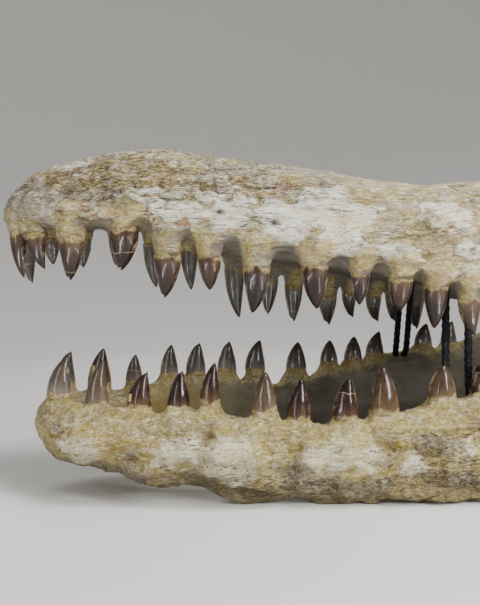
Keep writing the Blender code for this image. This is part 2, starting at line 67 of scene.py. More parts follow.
MM = 0.001
LEFT, RIGHT = -1, 1
SIDES = {"left": LEFT, "right": RIGHT}
SNOUT_TIP = cad_box[0].x          # stations are measured back from here

# Camera, where the photograph was taken from
CAMERA_PLACE = (-0.3923, -0.760, 0.2257)
CAMERA_TILT, CAMERA_TURN = -1.868, -10.67
FOCAL_LENGTH, PICTURE_HEIGHT = 690, 605    # both in pixels
SENSOR, NEAREST = 36.0, 0.01


def in_scene(name, data):
    """A new object, in the scene's collection."""
    made = bpy.data.objects.new(name, data)
    bpy.context.scene.collection.objects.link(made)
    return made


def object_of(bm, name):
    """A new object with a bmesh's faces."""
    mesh = bpy.data.meshes.new(name)
    bm.to_mesh(mesh)
    bm.free()
    return in_scene(name, mesh)


def add_camera():
    data = bpy.data.cameras.new("camera")
    data.sensor_width = SENSOR
    data.lens = SENSOR * FOCAL_LENGTH / PICTURE_HEIGHT
    data.clip_start = NEAREST
    camera = in_scene("camera", data)
    camera.location = CAMERA_PLACE
    camera.rotation_euler = (math.radians(90 + CAMERA_TILT), 0, math.radians(CAMERA_TURN))
    bpy.context.scene.camera = camera


# Formulas in node trees

def paint(red, green, blue):
    """A colour as a paint chart gives it, 0 to 255, in the linear values that shaders take."""
    chart = [red / 255, green / 255, blue / 255]
    return (*[c / 12.92 if c < 0.04045 else ((c + 0.055) / 1.055) ** 2.4 for c in chart], 1.0)


def by_math(operation):
    """An operator between a term and a number or another term."""
    return lambda term, other: term.math(operation, other)


class Term:
    """A value in a node tree that can be written in a formula."""

    def __init__(self, tree, socket):
        self.tree, self.socket = tree, socket

    def into(self, kind, others, **settings):
        """What a new node makes of this value and of the others, in its first inputs."""
        node = add_node(self.tree, kind, dict(enumerate((self, *others))), **settings)
        return Term(self.tree, node.outputs[0])

    def math(self, operation, *others, clamp=False):
        return self.into("ShaderNodeMath", others, operation=operation, use_clamp=clamp)

    __add__ = __radd__ = by_math("ADD")
    __mul__ = __rmul__ = by_math("MULTIPLY")
    __sub__, __truediv__, __pow__ = by_math("SUBTRACT"), by_math("DIVIDE"), by_math("POWER")

    def __rsub__(self, other):
        return self * -1.0 + other

    def fade(self, low, high):
        """0 below low, 1 above high and smooth between. With low over high it falls."""
        ends = (high, low, 1.0, 0.0) if low > high else (low, high, 0.0, 1.0)
        return self.into("ShaderNodeMapRange", ends, interpolation_type="SMOOTHSTEP")

    def clamped(self):
        return self.math("ADD", 0.0, clamp=True)


def feed(tree, node, inputs):
    """Puts values into a node's inputs, by name or by number."""
    for key, value in inputs.items():
        if isinstance(value, Term):
            value = value.socket
        if isinstance(value, bpy.types.NodeSocket):
            tree.links.new(value, node.inputs[key])
        else:
            node.inputs[key].default_value = value


def add_node(tree, kind, inputs, **settings):
    node = tree.nodes.new(kind)
    for name, value in settings.items():
        setattr(node, name, value)
    feed(tree, node, inputs)
    return node


class Tree:
    """A shader or geometry node tree, with what both kinds need for patterns."""

    def __init__(self, tree):
        self.tree = tree
        self.shader = tree.bl_idname == "ShaderNodeTree"
        if self.shader:
            self.place = self.term("ShaderNodeTexCoord", output="Object")
        else:
            self.place = self.term("GeometryNodeInputPosition")

    def add(self, kind, inputs=None, **settings):
        return add_node(self.tree, kind, inputs or {}, **settings)

    def term(self, kind, inputs=None, output=0, **settings):
        """What a new node gives, as a value for formulas."""
        return Term(self.tree, self.add(kind, inputs, **settings).outputs[output])

    def feed(self, node, **inputs):
        feed(self.tree, node, {key.replace("_", " "): value for key, value in inputs.items()})

    def attribute(self, name):
        """A named value of the mesh's points."""
        if self.shader:
            return self.term("ShaderNodeAttribute", output="Fac", attribute_name=name)
        return self.term("GeometryNodeInputNamedAttribute", {"Name": name}, data_type="FLOAT")

    def vector_math(self, operation, first, second):
        return self.term("ShaderNodeVectorMath", {0: first, 1: second}, operation=operation)

    def axis(self, name, place=None):
        return self.term("ShaderNodeSeparateXYZ", {0: place or self.place}, name)

    def vector(self, x, y, z):
        return self.term("ShaderNodeCombineXYZ", {0: x, 1: y, 2: z})

    def stretched(self, scale, stretch, shift, place):
        """The place that a pattern reads, so that it repeats about 1 / scale apart."""
        scaled = self.vector_math("MULTIPLY", place or self.place, [scale * s for s in stretch])
        return self.vector_math("ADD", scaled, (shift, shift * 1.7, shift * 2.3))

    def noise(self, scale, stretch=(1, 1, 1), detail=2.0, rough=0.5, shift=0.0, place=None, output=0):
        """Soft noise from about 0.2 to 0.8."""
        vector = self.stretched(scale, stretch, shift, place)
        inputs = {"Vector": vector, "Scale": 1.0, "Detail": detail, "Roughness": rough}
        return self.term("ShaderNodeTexNoise", inputs, output)

    def warped(self, scale, reach, shift):
        """The surface's place, pushed about by noise, for patterns that mustn't look ruled."""
        push = self.vector_math("SUBTRACT", self.noise(scale, shift=shift, output=1), (0.5, 0.5, 0.5))
        push = self.vector_math("MULTIPLY", push, (reach, reach, reach))
        return self.vector_math("ADD", self.place, push)

    def cells(self, scale, stretch, feature="F1", shift=0.0, place=None, output="Distance"):
        """Distance to the nearest cell's middle, or to its edge."""
        inputs = {"Vector": self.stretched(scale, stretch, shift, place), "Scale": 1.0}
        return self.term("ShaderNodeTexVoronoi", inputs, output, feature=feature)

    def grains(self, scale, stretch):
        """A random value from 0 to 1 for each of many small cells."""
        return self.axis("X", self.cells(scale, stretch, shift=3.0, output="Color"))

    def mix(self, factor, first, second):
        return self.term("ShaderNodeMix", {0: factor, 6: first, 7: second}, 2, data_type="RGBA")

    def coated(self, colour, coats):
        """A colour under thin coats of paint, each as (how much of it shows, its colour)."""
        for share, coat in coats:
            colour = self.mix(share.clamped(), colour, coat)
        return colour

    def store(self, geometry, name, value, kind="FLOAT"):
        """Keeps a value on a geometry's points, under a name."""
        return self.term("GeometryNodeStoreNamedAttribute",
                         {"Geometry": geometry, "Name": name, "Value": value},
                         data_type=kind, domain="POINT")

    def pushed(self, geometry, amount):
        """A geometry with its points moved out along their normals."""
        normal = self.term("GeometryNodeInputNormal")
        offset = self.term("ShaderNodeVectorMath", {0: normal, "Scale": amount}, operation="SCALE")
        return self.term("GeometryNodeSetPosition", {"Geometry": geometry, "Offset": offset})

    def finish(self, geometry, material):
        """Ends a geometry tree with real points and a material."""
        real = self.term("GeometryNodeRealizeInstances", {0: geometry})
        painted = self.term("GeometryNodeSetMaterial", {"Geometry": real, "Material": material})
        self.add("NodeGroupOutput", {0: painted})
        return self.tree


# Geometry trees and the meshes that they make

def new_group(name, numbers, source=None):
    """A geometry tree with inputs for numbers and a material, and maybe for a geometry.
    Gives the tree, its input node and the numbers as terms."""
    group = bpy.data.node_groups.new(name, "GeometryNodeTree")
    face = group.interface
    if source:
        face.new_socket(source, in_out="INPUT", socket_type="NodeSocketGeometry")
    for key, amount in numbers.items():
        socket = face.new_socket(key, in_out="INPUT", socket_type="NodeSocketFloat")
        socket.default_value = amount
    face.new_socket("Material", in_out="INPUT", socket_type="NodeSocketMaterial")
    face.new_socket("Geometry", in_out="OUTPUT", socket_type="NodeSocketGeometry")
    tree = Tree(group)
    inside = tree.add("NodeGroupInput")
    return tree, inside, [Term(group, inside.outputs[key]) for key in numbers]


def add_tree(made, group, **values):
    """Puts a geometry tree on an object, with values for its inputs."""
    modifier = made.modifiers.new(group.name, "NODES")
    modifier.node_group = group
    sockets = {s.name: s.identifier for s in group.interface.items_tree
               if s.item_type == "SOCKET" and s.in_out == "INPUT"}
    for name, value in values.items():
        modifier[sockets[name.replace("_", " ")]] = value


def result(made):
    """The mesh that an object's modifiers make."""
    bpy.context.view_layer.update()
    evaluated = made.evaluated_get(bpy.context.evaluated_depsgraph_get())
    return bpy.data.meshes.new_from_object(evaluated)


def baked(made):
    """Replaces an object's mesh by what its modifiers make of it."""
    mesh = result(made)
    made.modifiers.clear()
    old = made.data
    made.data = mesh
    bpy.data.meshes.remove(old)
    return made


def run_tree(made, group, **values):
    """Runs a geometry tree on an object and keeps what it makes as a plain mesh."""
    add_tree(made, group, **values)
    return baked(made)


# Bone patterns, shared by the relief and the colours

FIBRE_STRETCH = (0.10, 0.8, 1.0)     # fibres of bone run along the skull
FLAKE_STRETCH = (0.42, 0.8, 1.0)
LEDGES = (0.36, 0.42, 0.47, 0.53, 0.60)     # values of the layers' noise where a ledge steps up


def ragged(tree, mask, scale=75, reach=1.5, soft=0.14, shift=0.0):
    """A soft mask's edge broken up by noise, as flaked bone ends."""
    edge = tree.noise(scale, (0.4, 1, 1), 5.0, 0.7, shift) - 0.5
    return (mask + edge * reach).fade(0.5 - soft / 2, 0.5 + soft / 2) * mask.fade(0.02, 0.2)


def flake_edges(tree):
    """Distance to the edges of long flakes of bone that lift and curl."""
    place = tree.warped(45, 0.014, 3.0)
    return tree.cells(78, FLAKE_STRETCH, "DISTANCE_TO_EDGE", place=place)


def outlines(noise, width):
    """Thin wandering lines, where a noise passes its middle value."""
    return (noise - 0.5).math("ABSOLUTE").fade(width, width * 0.35)


def curls(tree):
    """Short curled cracks round flakes, broken up so that few of them join."""
    place = tree.warped(60, 0.006, 6.0)
    wide = outlines(tree.noise(62, (0.5, 1, 1), 3.0, 0.55, 21.0, place), 0.024)
    narrow = outlines(tree.noise(115, (0.6, 1, 1), 3.0, 0.6, 22.0, place), 0.03)
    broken = tree.noise(48, (0.6, 1, 1), 3.0, 0.6, 23.0)
    return (wide * broken.fade(0.44, 0.54)).math("MAXIMUM", narrow * broken.fade(0.56, 0.46) * 0.8)


def hairlines(tree):
    """Long fine cracks along the bone's fibres."""
    place = tree.warped(22, 0.008, 7.0)
    lines = outlines(tree.noise(80, (0.16, 1, 1), 4.0, 0.6, 31.0, place), 0.014)
    return lines * tree.noise(34, (0.6, 1, 1), 2.0, 0.6, 32.0).fade(0.47, 0.58)


def ledges(tree):
    """Layers of bone broken back one behind the other, in long ragged steps."""
    steps = [layers(tree).fade(at, at + 0.014) for at in LEDGES]
    return sum(steps) / len(steps)


def layers(tree):
    return tree.noise(58, (0.13, 0.8, 1), 4.0, 0.6, 41.0, tree.warped(26, 0.01, 9.0))


def ledge_shadows(tree):
    """The dark line under each ledge."""
    height = layers(tree)
    lines = [(height - (at - 0.004)).math("ABSOLUTE").fade(0.009, 0.002) for at in LEDGES]
    return sum(lines).clamped()


def fibres(tree):
    return tree.noise(330, FIBRE_STRETCH, 3.0, 0.6, 8.0, tree.warped(14, 0.006, 2.0))


BONE_MASKS = ["white", "ochre", "rust", "grey", "sandy", "putty_and_shade", "flaky", "pit", "seam", "form",
              "underside_shade", "layered", "worn"]
RELIEF = {"Swell": 0.6 * MM, "Lump height": 9 * MM, "Flake depth": 1.5 * MM,
          "Fibre depth": 1.2 * MM, "Clean bone height": 1.2 * MM, "Ledge height": 8 * MM}
PIT_DEPTH, SEAM_DEPTH = 3 * MM, 1.6 * MM


def bone_relief_tree():
    """Moves a bone's skin in and out: lumps, flakes, fibres and proud patches of clean bone."""
    tree, inside, numbers = new_group("bone relief", RELIEF, "Geometry")
    swell, lump, flake, fibre, clean, ledge = numbers
    (white, sandy, putty_and_shade, flaky, pit, seam, form, layered, worn) = [tree.attribute(key) for key in (
        "white", "sandy", "putty_and_shade", "flaky", "pit", "seam", "form", "layered", "worn")]
    bare = 1.0 - (putty_and_shade * 0.85).math("MAXIMUM", sandy * 0.6)
    rough = 1.0 - worn * 0.5
    lumps = tree.noise(26, (0.7, 1, 1), 3.0, 0.55) - 0.5
    knots = tree.noise(95, (0.7, 1, 1), 3.0, 0.6, 5.0) - 0.5
    cracks = flake_edges(tree).fade(0.16, 0.0) * flaky
    height = (lumps * lump * (1.0 - putty_and_shade * 0.7) + knots * lump * 0.6 * bare
              - cracks * flake + (fibres(tree) - 0.5) * fibre * bare * rough
              + ragged(tree, white) * clean - pit * PIT_DEPTH
              + (ledges(tree) - 0.5) * ledge * layered - seam * SEAM_DEPTH + form * MM)
    moved = tree.pushed(inside.outputs[0], height + swell)
    kept = tree.store(moved, "relief", (height - form * MM) / lump)
    return tree.finish(kept, inside.outputs["Material"])


# Materials

def new_material(name):
    made = bpy.data.materials.new(name)
    made.use_nodes = True
    return made, Tree(made.node_tree), made.node_tree.nodes["Principled BSDF"]


def bump(tree, shader, height, strength, distance):
    inputs = {"Strength": strength, "Distance": distance, "Height": height}
    tree.feed(shader, Normal=tree.term("ShaderNodeBump", inputs))


# Colours as a paint chart gives them, 0 to 255. The shade colour is painted shade, and the putty's
# colours are matrix darkened in part as painted shade
CRANIUM_COLOURS = {
    "cream": (182, 168, 126), "tan": (146, 128, 86), "white": (224, 221, 206),
    "ochre": (150, 131, 76), "rust": (138, 88, 36), "grey": (136, 132, 124),
    "sandy": (190, 166, 98), "sandy_dark": (120, 104, 60), "putty_and_shade": (84, 78, 73),
    "putty_and_shade_front": (102, 92, 76), "line": (74, 50, 27), "shade": (84, 71, 50),
    "pit": (58, 50, 40), "yellow": (200, 180, 106), "lilac": (158, 151, 146)}
JAW_COLOURS = dict(
    CRANIUM_COLOURS, cream=(178, 159, 98), tan=(142, 122, 68), white=(230, 222, 192),
    ochre=(178, 152, 64), sandy=(162, 143, 84), sandy_dark=(110, 96, 52), putty_and_shade=(70, 66, 56),
    putty_and_shade_front=(132, 114, 58), line=(84, 66, 40), grey=(128, 121, 113), shade=(88, 78, 62),
    yellow=(196, 176, 96), lilac=(148, 138, 122))


# How each kind of bone looks: the grit's stretch along x, y and z, and shares from 0 to 1
CRANIUM_LOOK = {"grit_stretch": (0.4, 1, 1), "plates": 0.45, "grains": 0.3, "grit": 0.5,
                "patch_soft": 0.18, "crust": 0.35}
JAW_LOOK = {"grit_stretch": (0.8, 1, 1), "plates": 0.3, "grains": 0.35, "grit": 0.4,
            "patch_soft": 0.4, "crust": 0.9}


def bone_material(name, colours, look):
    """Weathered bone: clean white patches, flaky tan bone, stains, sandy matrix and putty darkened in
    part as painted shade, with painted shade in recesses, pits and undersides.
    """
    made, tree, shader = new_material(name)
    mask = {key: tree.attribute(key) for key in BONE_MASKS}
    smooth, layered = mask["putty_and_shade"], mask["layered"]
    clouds = tree.noise(22, (0.6, 1, 1), 5.0, 0.65, 1.0)
    mottle = tree.noise(105, (0.5, 1, 1), 5.0, 0.7, 4.0)
    blots = tree.noise(46, (0.8, 1, 1), 5.0, 0.7, 15.0)
    crust = tree.noise(170, (0.75, 1, 1), 6.0, 0.75, 16.0, tree.warped(120, 0.004, 17.0))
    grit = tree.noise(360, look["grit_stretch"], 4.0, 0.75, 6.0)
    grains = tree.grains(560, look["grit_stretch"])
    strands, hairs = fibres(tree), hairlines(tree)
    rear = tree.axis("X").fade(-0.30, -0.18)
    white = ragged(tree, mask["white"], soft=look["patch_soft"])
    fringe = ragged(tree, (mask["white"] * 1.5).clamped()) * (1.0 - white)
    stains = [(ragged(tree, mask[key], 120, 2.2, 0.4, shift) * share, key) for key, share, shift in (
        ("grey", 0.7, 11.0), ("ochre", 0.68, 12.0), ("rust", 0.75, 13.0))]
    flaking = (mask["flaky"] * (1.0 - white * 0.8)).clamped()
    curled = curls(tree) * flaking
    plates = flake_edges(tree).fade(0.10, 0.0) * flaking * clouds.fade(0.36, 0.5) * look["plates"]
    sandy = ragged(tree, mask["sandy"], 60, 1.8, 0.6, 7.0)
    crusty = (1.0 - white * 0.35) * (1.0 - layered * 0.6) * look["crust"]
    speckle = look["grains"] * (0.55 + sandy * 0.45)
    fresh = 1.0 - mask["worn"] * 0.6
    streak = strands.fade(0.44, 0.30) * (0.45 + white * 0.3) * (1.0 - sandy * 0.8)
    pores = tree.cells(230, (0.7, 1, 1), shift=5.0).fade(0.2, 0.08) * mottle.fade(0.5, 0.6)
    # Painted shade: darker in the relief's recesses and in sunken forms
    low = (tree.attribute("relief") + mask["form"] * 0.08).fade(0.02, -0.42)
    paints = {key: paint(*chart) for key, chart in colours.items()}
    # The putty is matrix darkened in part as painted shade, darker at the rear of the mouth than at
    # the front
    putty_and_shade = tree.mix(clouds.fade(0.4, 0.6), paints["putty_and_shade"], paints["grey"])
    putty_and_shade = tree.mix(0.72, putty_and_shade, paints["putty_and_shade"])
    paints["putty_and_shade"] = tree.mix(tree.axis("X").fade(-0.18, -0.40), putty_and_shade, paints["putty_and_shade_front"])
    coats = [
        (rear * 0.3, "cream"),
        (rear * 0.3, "yellow"),
        (mottle.fade(0.48, 0.64) * 0.75, "white"),
        (mottle.fade(0.50, 0.36) * 0.5, "ochre"),
        (blots.fade(0.53, 0.57) * 0.6, "yellow"),
        (blots.fade(0.46, 0.42) * 0.6, "lilac"),
        (fringe * 0.45, "ochre"),
        (white * (0.6 + mottle.fade(0.38, 0.56) * 0.4), "white"),
        (white * blots.fade(0.52, 0.60) * (0.2 + rear * 0.2), "yellow"),
        *stains,
        (curled * 0.85, "line"),
        (plates, "line"),
        (sandy * 0.75, "sandy"),
        (blots.fade(0.48, 0.55) * sandy * 0.5, "yellow"),
        (crust.fade(0.53, 0.58) * crusty * 0.7, "white"),
        (outlines(crust - 0.04, 0.022) * crusty * 0.5, "sandy_dark"),
        (crust.fade(0.44, 0.37) * crusty * 0.7, "sandy_dark"),
        (grit.fade(0.49, 0.36) * look["grit"], "sandy_dark"),
        (grit.fade(0.53, 0.65) * look["grit"], "white"),
        (grains.fade(0.78, 0.98) * speckle, "white"),
        (grains.fade(0.22, 0.04) * speckle, "sandy_dark"),
        (streak * fresh, "line"),
        (hairs * 0.8 * (1.0 - sandy) * fresh, "line"),
        (ledge_shadows(tree) * layered * 0.8, "line"),
        (pores * 0.7, "line"),
        # painted shade in recesses
        (low * 0.42 * (1.0 - smooth), "shade"),
        # painted shade under the jaw
        (mask["underside_shade"] * (0.55 + clouds * 0.4), "shade"),
        # putty, darkened in part as painted shade
        (smooth * 0.95, "putty_and_shade"),
        (mask["seam"].fade(0.35, 0.9) * 0.75, "line"),
        # painted shade in the foramina
        (mask["pit"] * 1.2, "pit")]
    colour = tree.mix(clouds.fade(0.42, 0.58), paints["tan"], paints["cream"])
    colour = tree.coated(colour, [(share, paints[key]) for share, key in coats])
    tree.feed(shader, Base_Color=colour, Roughness=0.6 + grit * 0.3 - smooth * 0.2,
              Specular_IOR_Level=0.35)
    height = (grit * (0.7 + sandy * 0.5) + crust * crusty * 1.6 + grains * 0.1
              + strands * 0.8 * (1.0 - sandy) - curled * 0.9 - plates * 0.8 - hairs * 0.8
              + white * 0.7 + mottle * 1.8 + ledges(tree) * layered * 5.0)
    bump(tree, shader, height * (1.0 - smooth * 0.85), strength=1.0, distance=2.2 * MM)
    return made


CROWN_TONES = {0.0: (70, 66, 65), 0.2: (78, 65, 48), 0.36: (60, 42, 30), 0.55: (42, 23, 20),
               0.8: (28, 13, 16), 1.0: (30, 20, 27)}


def enamel_material():
    """Dark fossil enamel: streaks from base to tip, pale chipped keels that are partly painted glints,
    and a hard gloss.
    """
    made, tree, shader = new_material("tooth enamel")
    up, tone, ring, keel = [tree.attribute("crown_" + n) for n in ("up", "tone", "ring", "keel")]
    around = tree.term("ShaderNodeAttribute", output="Vector", attribute_name="crown_round")
    blotch = tree.noise(70, (1, 1, 0.6), 3.0, 0.6)
    ramp = tree.add("ShaderNodeValToRGB", {0: (tone + (blotch - 0.5) * 0.5).clamped()})
    while len(ramp.color_ramp.elements) < len(CROWN_TONES):
        ramp.color_ramp.elements.new(0.5)
    for element, (place, chart) in zip(ramp.color_ramp.elements, CROWN_TONES.items()):
        element.position = place
        element.color = paint(*chart)
    streaks = tree.noise(1.0, (9, 9, 0.9), 3.0, 0.6, 4.0, around)
    fine = tree.noise(1.0, (30, 30, 1.2), 2.0, 0.6, 9.0, around)
    tide = tree.noise(1.0, (0.9, 0.9, 0.5), 2.0, 0.5, 14.0, around) - 0.5
    crumbs = tree.noise(420, (1, 1, 1), 3.0, 0.7, 19.0)
    brown = tone.fade(0.05, 0.35)
    stain = (up - tide * 1.1 - (fine - 0.5) * 0.2).fade(0.42, 0.0)
    pale = tone.fade(0.35, 0.1) * 0.2 + tone.fade(0.8, 0.5) * 0.12 + 0.33
    low = (up - tide * 0.5 + (crumbs - 0.5) * 0.12).fade(0.09, 0.03)
    # Pale chips along the keels, partly painted glints
    chips_and_glints = keel * tree.noise(190, (1, 1, 0.4), 3.0, 0.7, 2.0).fade(0.5, 0.64)
    wobble = (tree.noise(70, (1, 1, 1), 4.0, 0.7, 7.0) - 0.5) * 0.24
    crack = (up - ring + wobble).math("ABSOLUTE").fade(0.014, 0.004)
    coats = [
        (streaks.fade(0.52, 0.74) * 0.4, tree.mix(brown, paint(112, 104, 100), paint(94, 66, 44))),
        (fine.fade(0.58, 0.78) * 0.14, paint(150, 126, 104)),
        (stain * pale, tree.mix(brown, paint(126, 118, 108), paint(108, 84, 56))),
        (low * 0.9, tree.mix(crumbs.fade(0.42, 0.58), paint(116, 99, 62), paint(174, 155, 110))),
        (chips_and_glints * 0.75, paint(186, 166, 130)),
        (crack * 0.6, paint(176, 160, 130)),
        (up.fade(0.4, 1.0) * 0.5, paint(26, 15, 15))]
    tree.feed(shader, Base_Color=tree.coated(ramp.outputs[0], coats),
              Roughness=0.2 + low * 0.45 + streaks.fade(0.4, 0.7) * 0.12 + chips_and_glints * 0.3,
              Coat_Weight=0.4 - low * 0.4, Coat_Roughness=0.07, Specular_IOR_Level=0.2)
    height = streaks * 0.7 + fine * 0.35 - crack * 1.2 - chips_and_glints * 0.5
    bump(tree, shader, height, strength=0.3, distance=0.6 * MM)
    return made


def steel_material():
    made, tree, shader = new_material("black steel")
    scale = tree.noise(700, (1, 1, 1), 3.0, 0.7)
    worn = scale.fade(0.55, 0.72)
    tree.feed(shader, Base_Color=tree.mix(worn, paint(26, 26, 30), paint(120, 118, 124)),
              Metallic=0.9, Roughness=0.55 - worn * 0.3)
    bump(tree, shader, scale, strength=1.0, distance=1.2 * MM)
    return made


# Teeth, read from their solids

RIM_DEPTH = 0.1 * MM      # points this near to a crown's lowest are on its rim


class Tooth:
    """Where a crown stands and which way it points, from its solid's own points."""

    def __init__(self, name):
        self.name = name
        side, bone = name.split("_")[:2]
        self.side = SIDES[side]
        self.up = 1 if bone == "dentary" else -1
        points = np.array([v.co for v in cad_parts[name].data.vertices])
        heights = points[:, 2] * self.up
        rim = np.unique(points[heights < heights.min() + RIM_DEPTH].round(6), axis=0)
        self.foot = Vector(rim.mean(axis=0))
        self.tip = Vector(points[heights.argmax()])
        reach = rim - np.array(self.foot)
        far = reach[np.hypot(reach[:, 0], reach[:, 1]).argmax()]
        self.radius = float(np.hypot(far[0], far[1]))
        self.turn = math.atan2(far[1], far[0])
        self.height = abs(self.tip.z - self.foot.z)
        self.seed = sum(ord(c) * (i + 3) for i, c in enumerate(name)) % 997

    def to_world(self):
        """From the crown's own axes, along the row, sideways and to the tip."""
        flip = Matrix.Identity(4) if self.up > 0 else Matrix.Rotation(math.pi, 4, "X")
        return Matrix.Translation(self.foot) @ Matrix.Rotation(self.turn, 4, "Z") @ flip


def read_teeth():
    found = [Tooth(n) for n in sorted(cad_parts) if "tooth" in n]
    return sorted(found, key=lambda t: (t.up, t.side, t.foot.x))


# Bone meshes

SAME_POINT = 0.01 * MM
VOXEL = 2.6 * MM
SMOOTHING, SMOOTHING_ROUNDS = 0.5, 14
MOST_TRIANGLES = 190_000
PEDESTAL_SIDES, PEDESTAL_THICKNESS = 18, 0.92
MOUTH_HEIGHT = 0.19       # between the jaws, from where both gums are felt
# A pedestal's waves round it: (height as a share of its radius, how many, how far down, in
# millimetres, they turn by one radian)
PEDESTAL_WAVES = [(0.05, 2, 9), (0.04, 3, -7)]
# A pedestal from the crown into the bone: (depth, extra radius), in millimetres
PEDESTAL = [(-1.6, -0.8), (-0.8, 0.1), (3, 0.4), (8, 0.9), (14, 2.0), (20, 3.6), (26, 4.8),
            (34, 2.0), (42, -4.0)]
# How far the gum's edge rises between two teeth, or hangs where it is negative, by station
ARCH_RISE = {
    ("upper", LEFT): [(25, -6), (53, -9), (98, -7), (143, 5), (186, 4), (229, 9), (279, 8),
                      (335, 9), (373, 9), (409, 8), (448, 5), (600, 5)],
    ("upper", RIGHT): [(25, -3), (98, 0), (140, 6), (180, 4), (240, 8), (300, 5), (600, 7)],
    ("lower", LEFT): [(75, 0), (115, 0), (156, -4), (191, -3), (233, -2), (277, -3), (318, -5),
                      (360, -3), (410, -1), (600, -2)],
    ("lower", RIGHT): [(75, -1), (115, -1), (156, -3), (194, -4), (230, -5), (268, -10),
                       (315, -13), (366, -9), (406, -7), (440, -6), (600, -3)]}
# How far out from its row an arch reaches, and from where on the row's inner side, for lower
# teeth (1) and upper teeth (-1): none of it at the first distance, all of it at the second
ARCH_OUTER_EDGE = (40 * MM, 30 * MM)
ARCH_INNER_EDGE = {1: (-30 * MM, -20 * MM), -1: (-11 * MM, 2 * MM)}


def station_of(x):
    """Distance back from the snout's tip, in millimetres."""
    return (x - SNOUT_TIP) / MM


def bone_copy(node):
    bm = bmesh.new()
    bm.from_mesh(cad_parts[node].data)
    bmesh.ops.remove_doubles(bm, verts=bm.verts, dist=SAME_POINT)
    return bm


def join_rings(bm, rings):
    """Faces from each ring of points to the next. Gives the rings' corners and the faces."""
    loops = [[bm.verts.new(p) for p in ring] for ring in rings]
    faces = []
    for first, second in zip(loops, loops[1:]):
        for i, vertex in enumerate(first):
            j = (i + 1) % len(first)
            faces.append(bm.faces.new((vertex, first[j], second[j], second[i])))
    return loops, faces


def add_pedestal(bm, tooth):
    """The root's swollen, sandy base, which flares from the crown into the bone."""
    rng = np.random.default_rng(tooth.seed)
    waves = list(zip(PEDESTAL_WAVES, rng.uniform(0, math.tau, 3)))
    turns = [math.tau * i / PEDESTAL_SIDES for i in range(PEDESTAL_SIDES)]
    matrix = tooth.to_world()
    rings = []
    for depth, extra in PEDESTAL:
        ring = []
        for angle in turns:
            wave = sum((size * math.sin(count * angle + start + depth / twist)
                        for (size, count, twist), start in waves), 1)
            radius = (tooth.radius + extra * MM) * wave
            ring.append(matrix @ Vector((
                radius * math.cos(angle), radius * PEDESTAL_THICKNESS * math.sin(angle), -depth * MM)))
        rings.append(ring)
    loops, faces = join_rings(bm, rings)
    faces += [bm.faces.new(loops[0]), bm.faces.new(loops[-1])]
    bmesh.ops.recalc_face_normals(bm, faces=faces)


# A crown's radius falls as (1 - up ** TAPER) ** BULGE, with up from 0 at its base to 1
TAPER, BULGE = 1.6, 0.85
FLAKE_OUT = 0.9           # a lump's middle, as a share of the crown's radius there
# Lumps of matrix left on crowns, by tooth: (degrees round it, share of its height, half sizes)
FLAKES = {"right_dentary_tooth_2": (-150, 0.42, (3, 5, 11)),
          "left_dentary_tooth_3": (-140, 0.30, (3, 3, 7)),
          "left_maxillary_tooth_6": (-130, 0.14, (3, 4, 5)),
          "left_dentary_tooth_8": (-140, 0.12, (3, 3, 4)),
          "right_dentary_tooth_7": (-160, 0.4, (3, 3, 8))}
# Matrix that hangs between teeth, by solid: (station, distance to the right, height, half sizes)
LUMPS = {"cranium": [(13, 0, 283, (9, 17, 8))]}


def add_blob(bm, matrix, size):
    """A ball, stretched to its half sizes in millimetres."""
    stretch = Matrix.Diagonal((*[s * MM for s in size], 1.0))
    bmesh.ops.create_icosphere(bm, subdivisions=2, radius=1.0, matrix=matrix @ stretch)


def add_flake(bm, tooth, around, up, size):
    angle = math.radians(around)
    radius = tooth.radius * (1 - up ** TAPER) ** BULGE * FLAKE_OUT
    spot = Vector((radius * math.cos(angle), radius * math.sin(angle), up * tooth.height))
    matrix = tooth.to_world() @ Matrix.Translation(spot) @ Matrix.Rotation(angle, 4, "Z")
    add_blob(bm, matrix, size)


def add_lump(bm, station, across, height, size):
    place = Vector((SNOUT_TIP + station * MM, across * MM, height * MM))
    add_blob(bm, Matrix.Translation(place), size)


def gaps(teeth):
    """Each pair of neighbouring teeth with the middle between them and the gap's half length."""
    for first, second in zip(teeth, teeth[1:]):
        apart = second.foot - first.foot
        middle = (first.foot + second.foot) / 2
        half = (apart.length - first.radius - second.radius) / 2
        yield middle, half, math.atan2(apart.y, apart.x)


def shape_arches(made, row, surface):
    """Bends the gum's edge between the teeth of one row, so that it runs from arch to arch.
    Gives how deep in an arch each point is."""
    places, _ = mesh_points(made.data)
    hollow = np.zeros(len(places))
    lift = np.zeros(len(places))
    up, side = row[0].up, row[0].side
    rises = ARCH_RISE["lower" if up > 0 else "upper", side]
    for middle, half, turn in gaps(row):
        gum = surface.ray_cast(Vector((middle.x, middle.y, MOUTH_HEIGHT)), Vector((0, 0, -up)))[0]
        if gum is None:
            continue
        along_row = np.array((math.cos(turn), math.sin(turn)))
        out = np.array((-along_row[1], along_row[0])) * side
        away = places[:, :2] - np.array(middle.xy)
        along, across = away @ along_row, away @ out
        rise = np.interp(station_of(middle.x), *zip(*rises)) * MM
        inside = np.cos(np.clip(np.abs(along) / (half + 2 * MM), 0, 1) * math.pi / 2) ** 0.6
        deep = (gum.z - places[:, 2]) * up
        low = step(deep, 2.2 * abs(rise) + 9 * MM, 1 * MM)
        near = step(across, *ARCH_OUTER_EDGE) * step(across, *ARCH_INNER_EDGE[up])
        lift += inside * low * near * rise
        under = step(deep, 0.5 * rise + 5 * MM, 0)
        hollow = np.maximum(hollow, inside * under * step(across, 12 * MM, 6 * MM))
    places[:, 2] += lift
    move_points(made.data, places)
    return hollow


def remeshed(bm, name):
    """One skin over overlapping shapes, with its facets melted away."""
    made = object_of(bm, name)
    voxels = made.modifiers.new("voxels", "REMESH")
    voxels.mode = "VOXEL"
    voxels.voxel_size = VOXEL
    voxels.adaptivity = 0.0
    smooth = made.modifiers.new("smooth", "SMOOTH")
    smooth.factor = SMOOTHING
    smooth.iterations = SMOOTHING_ROUNDS
    return baked(made)


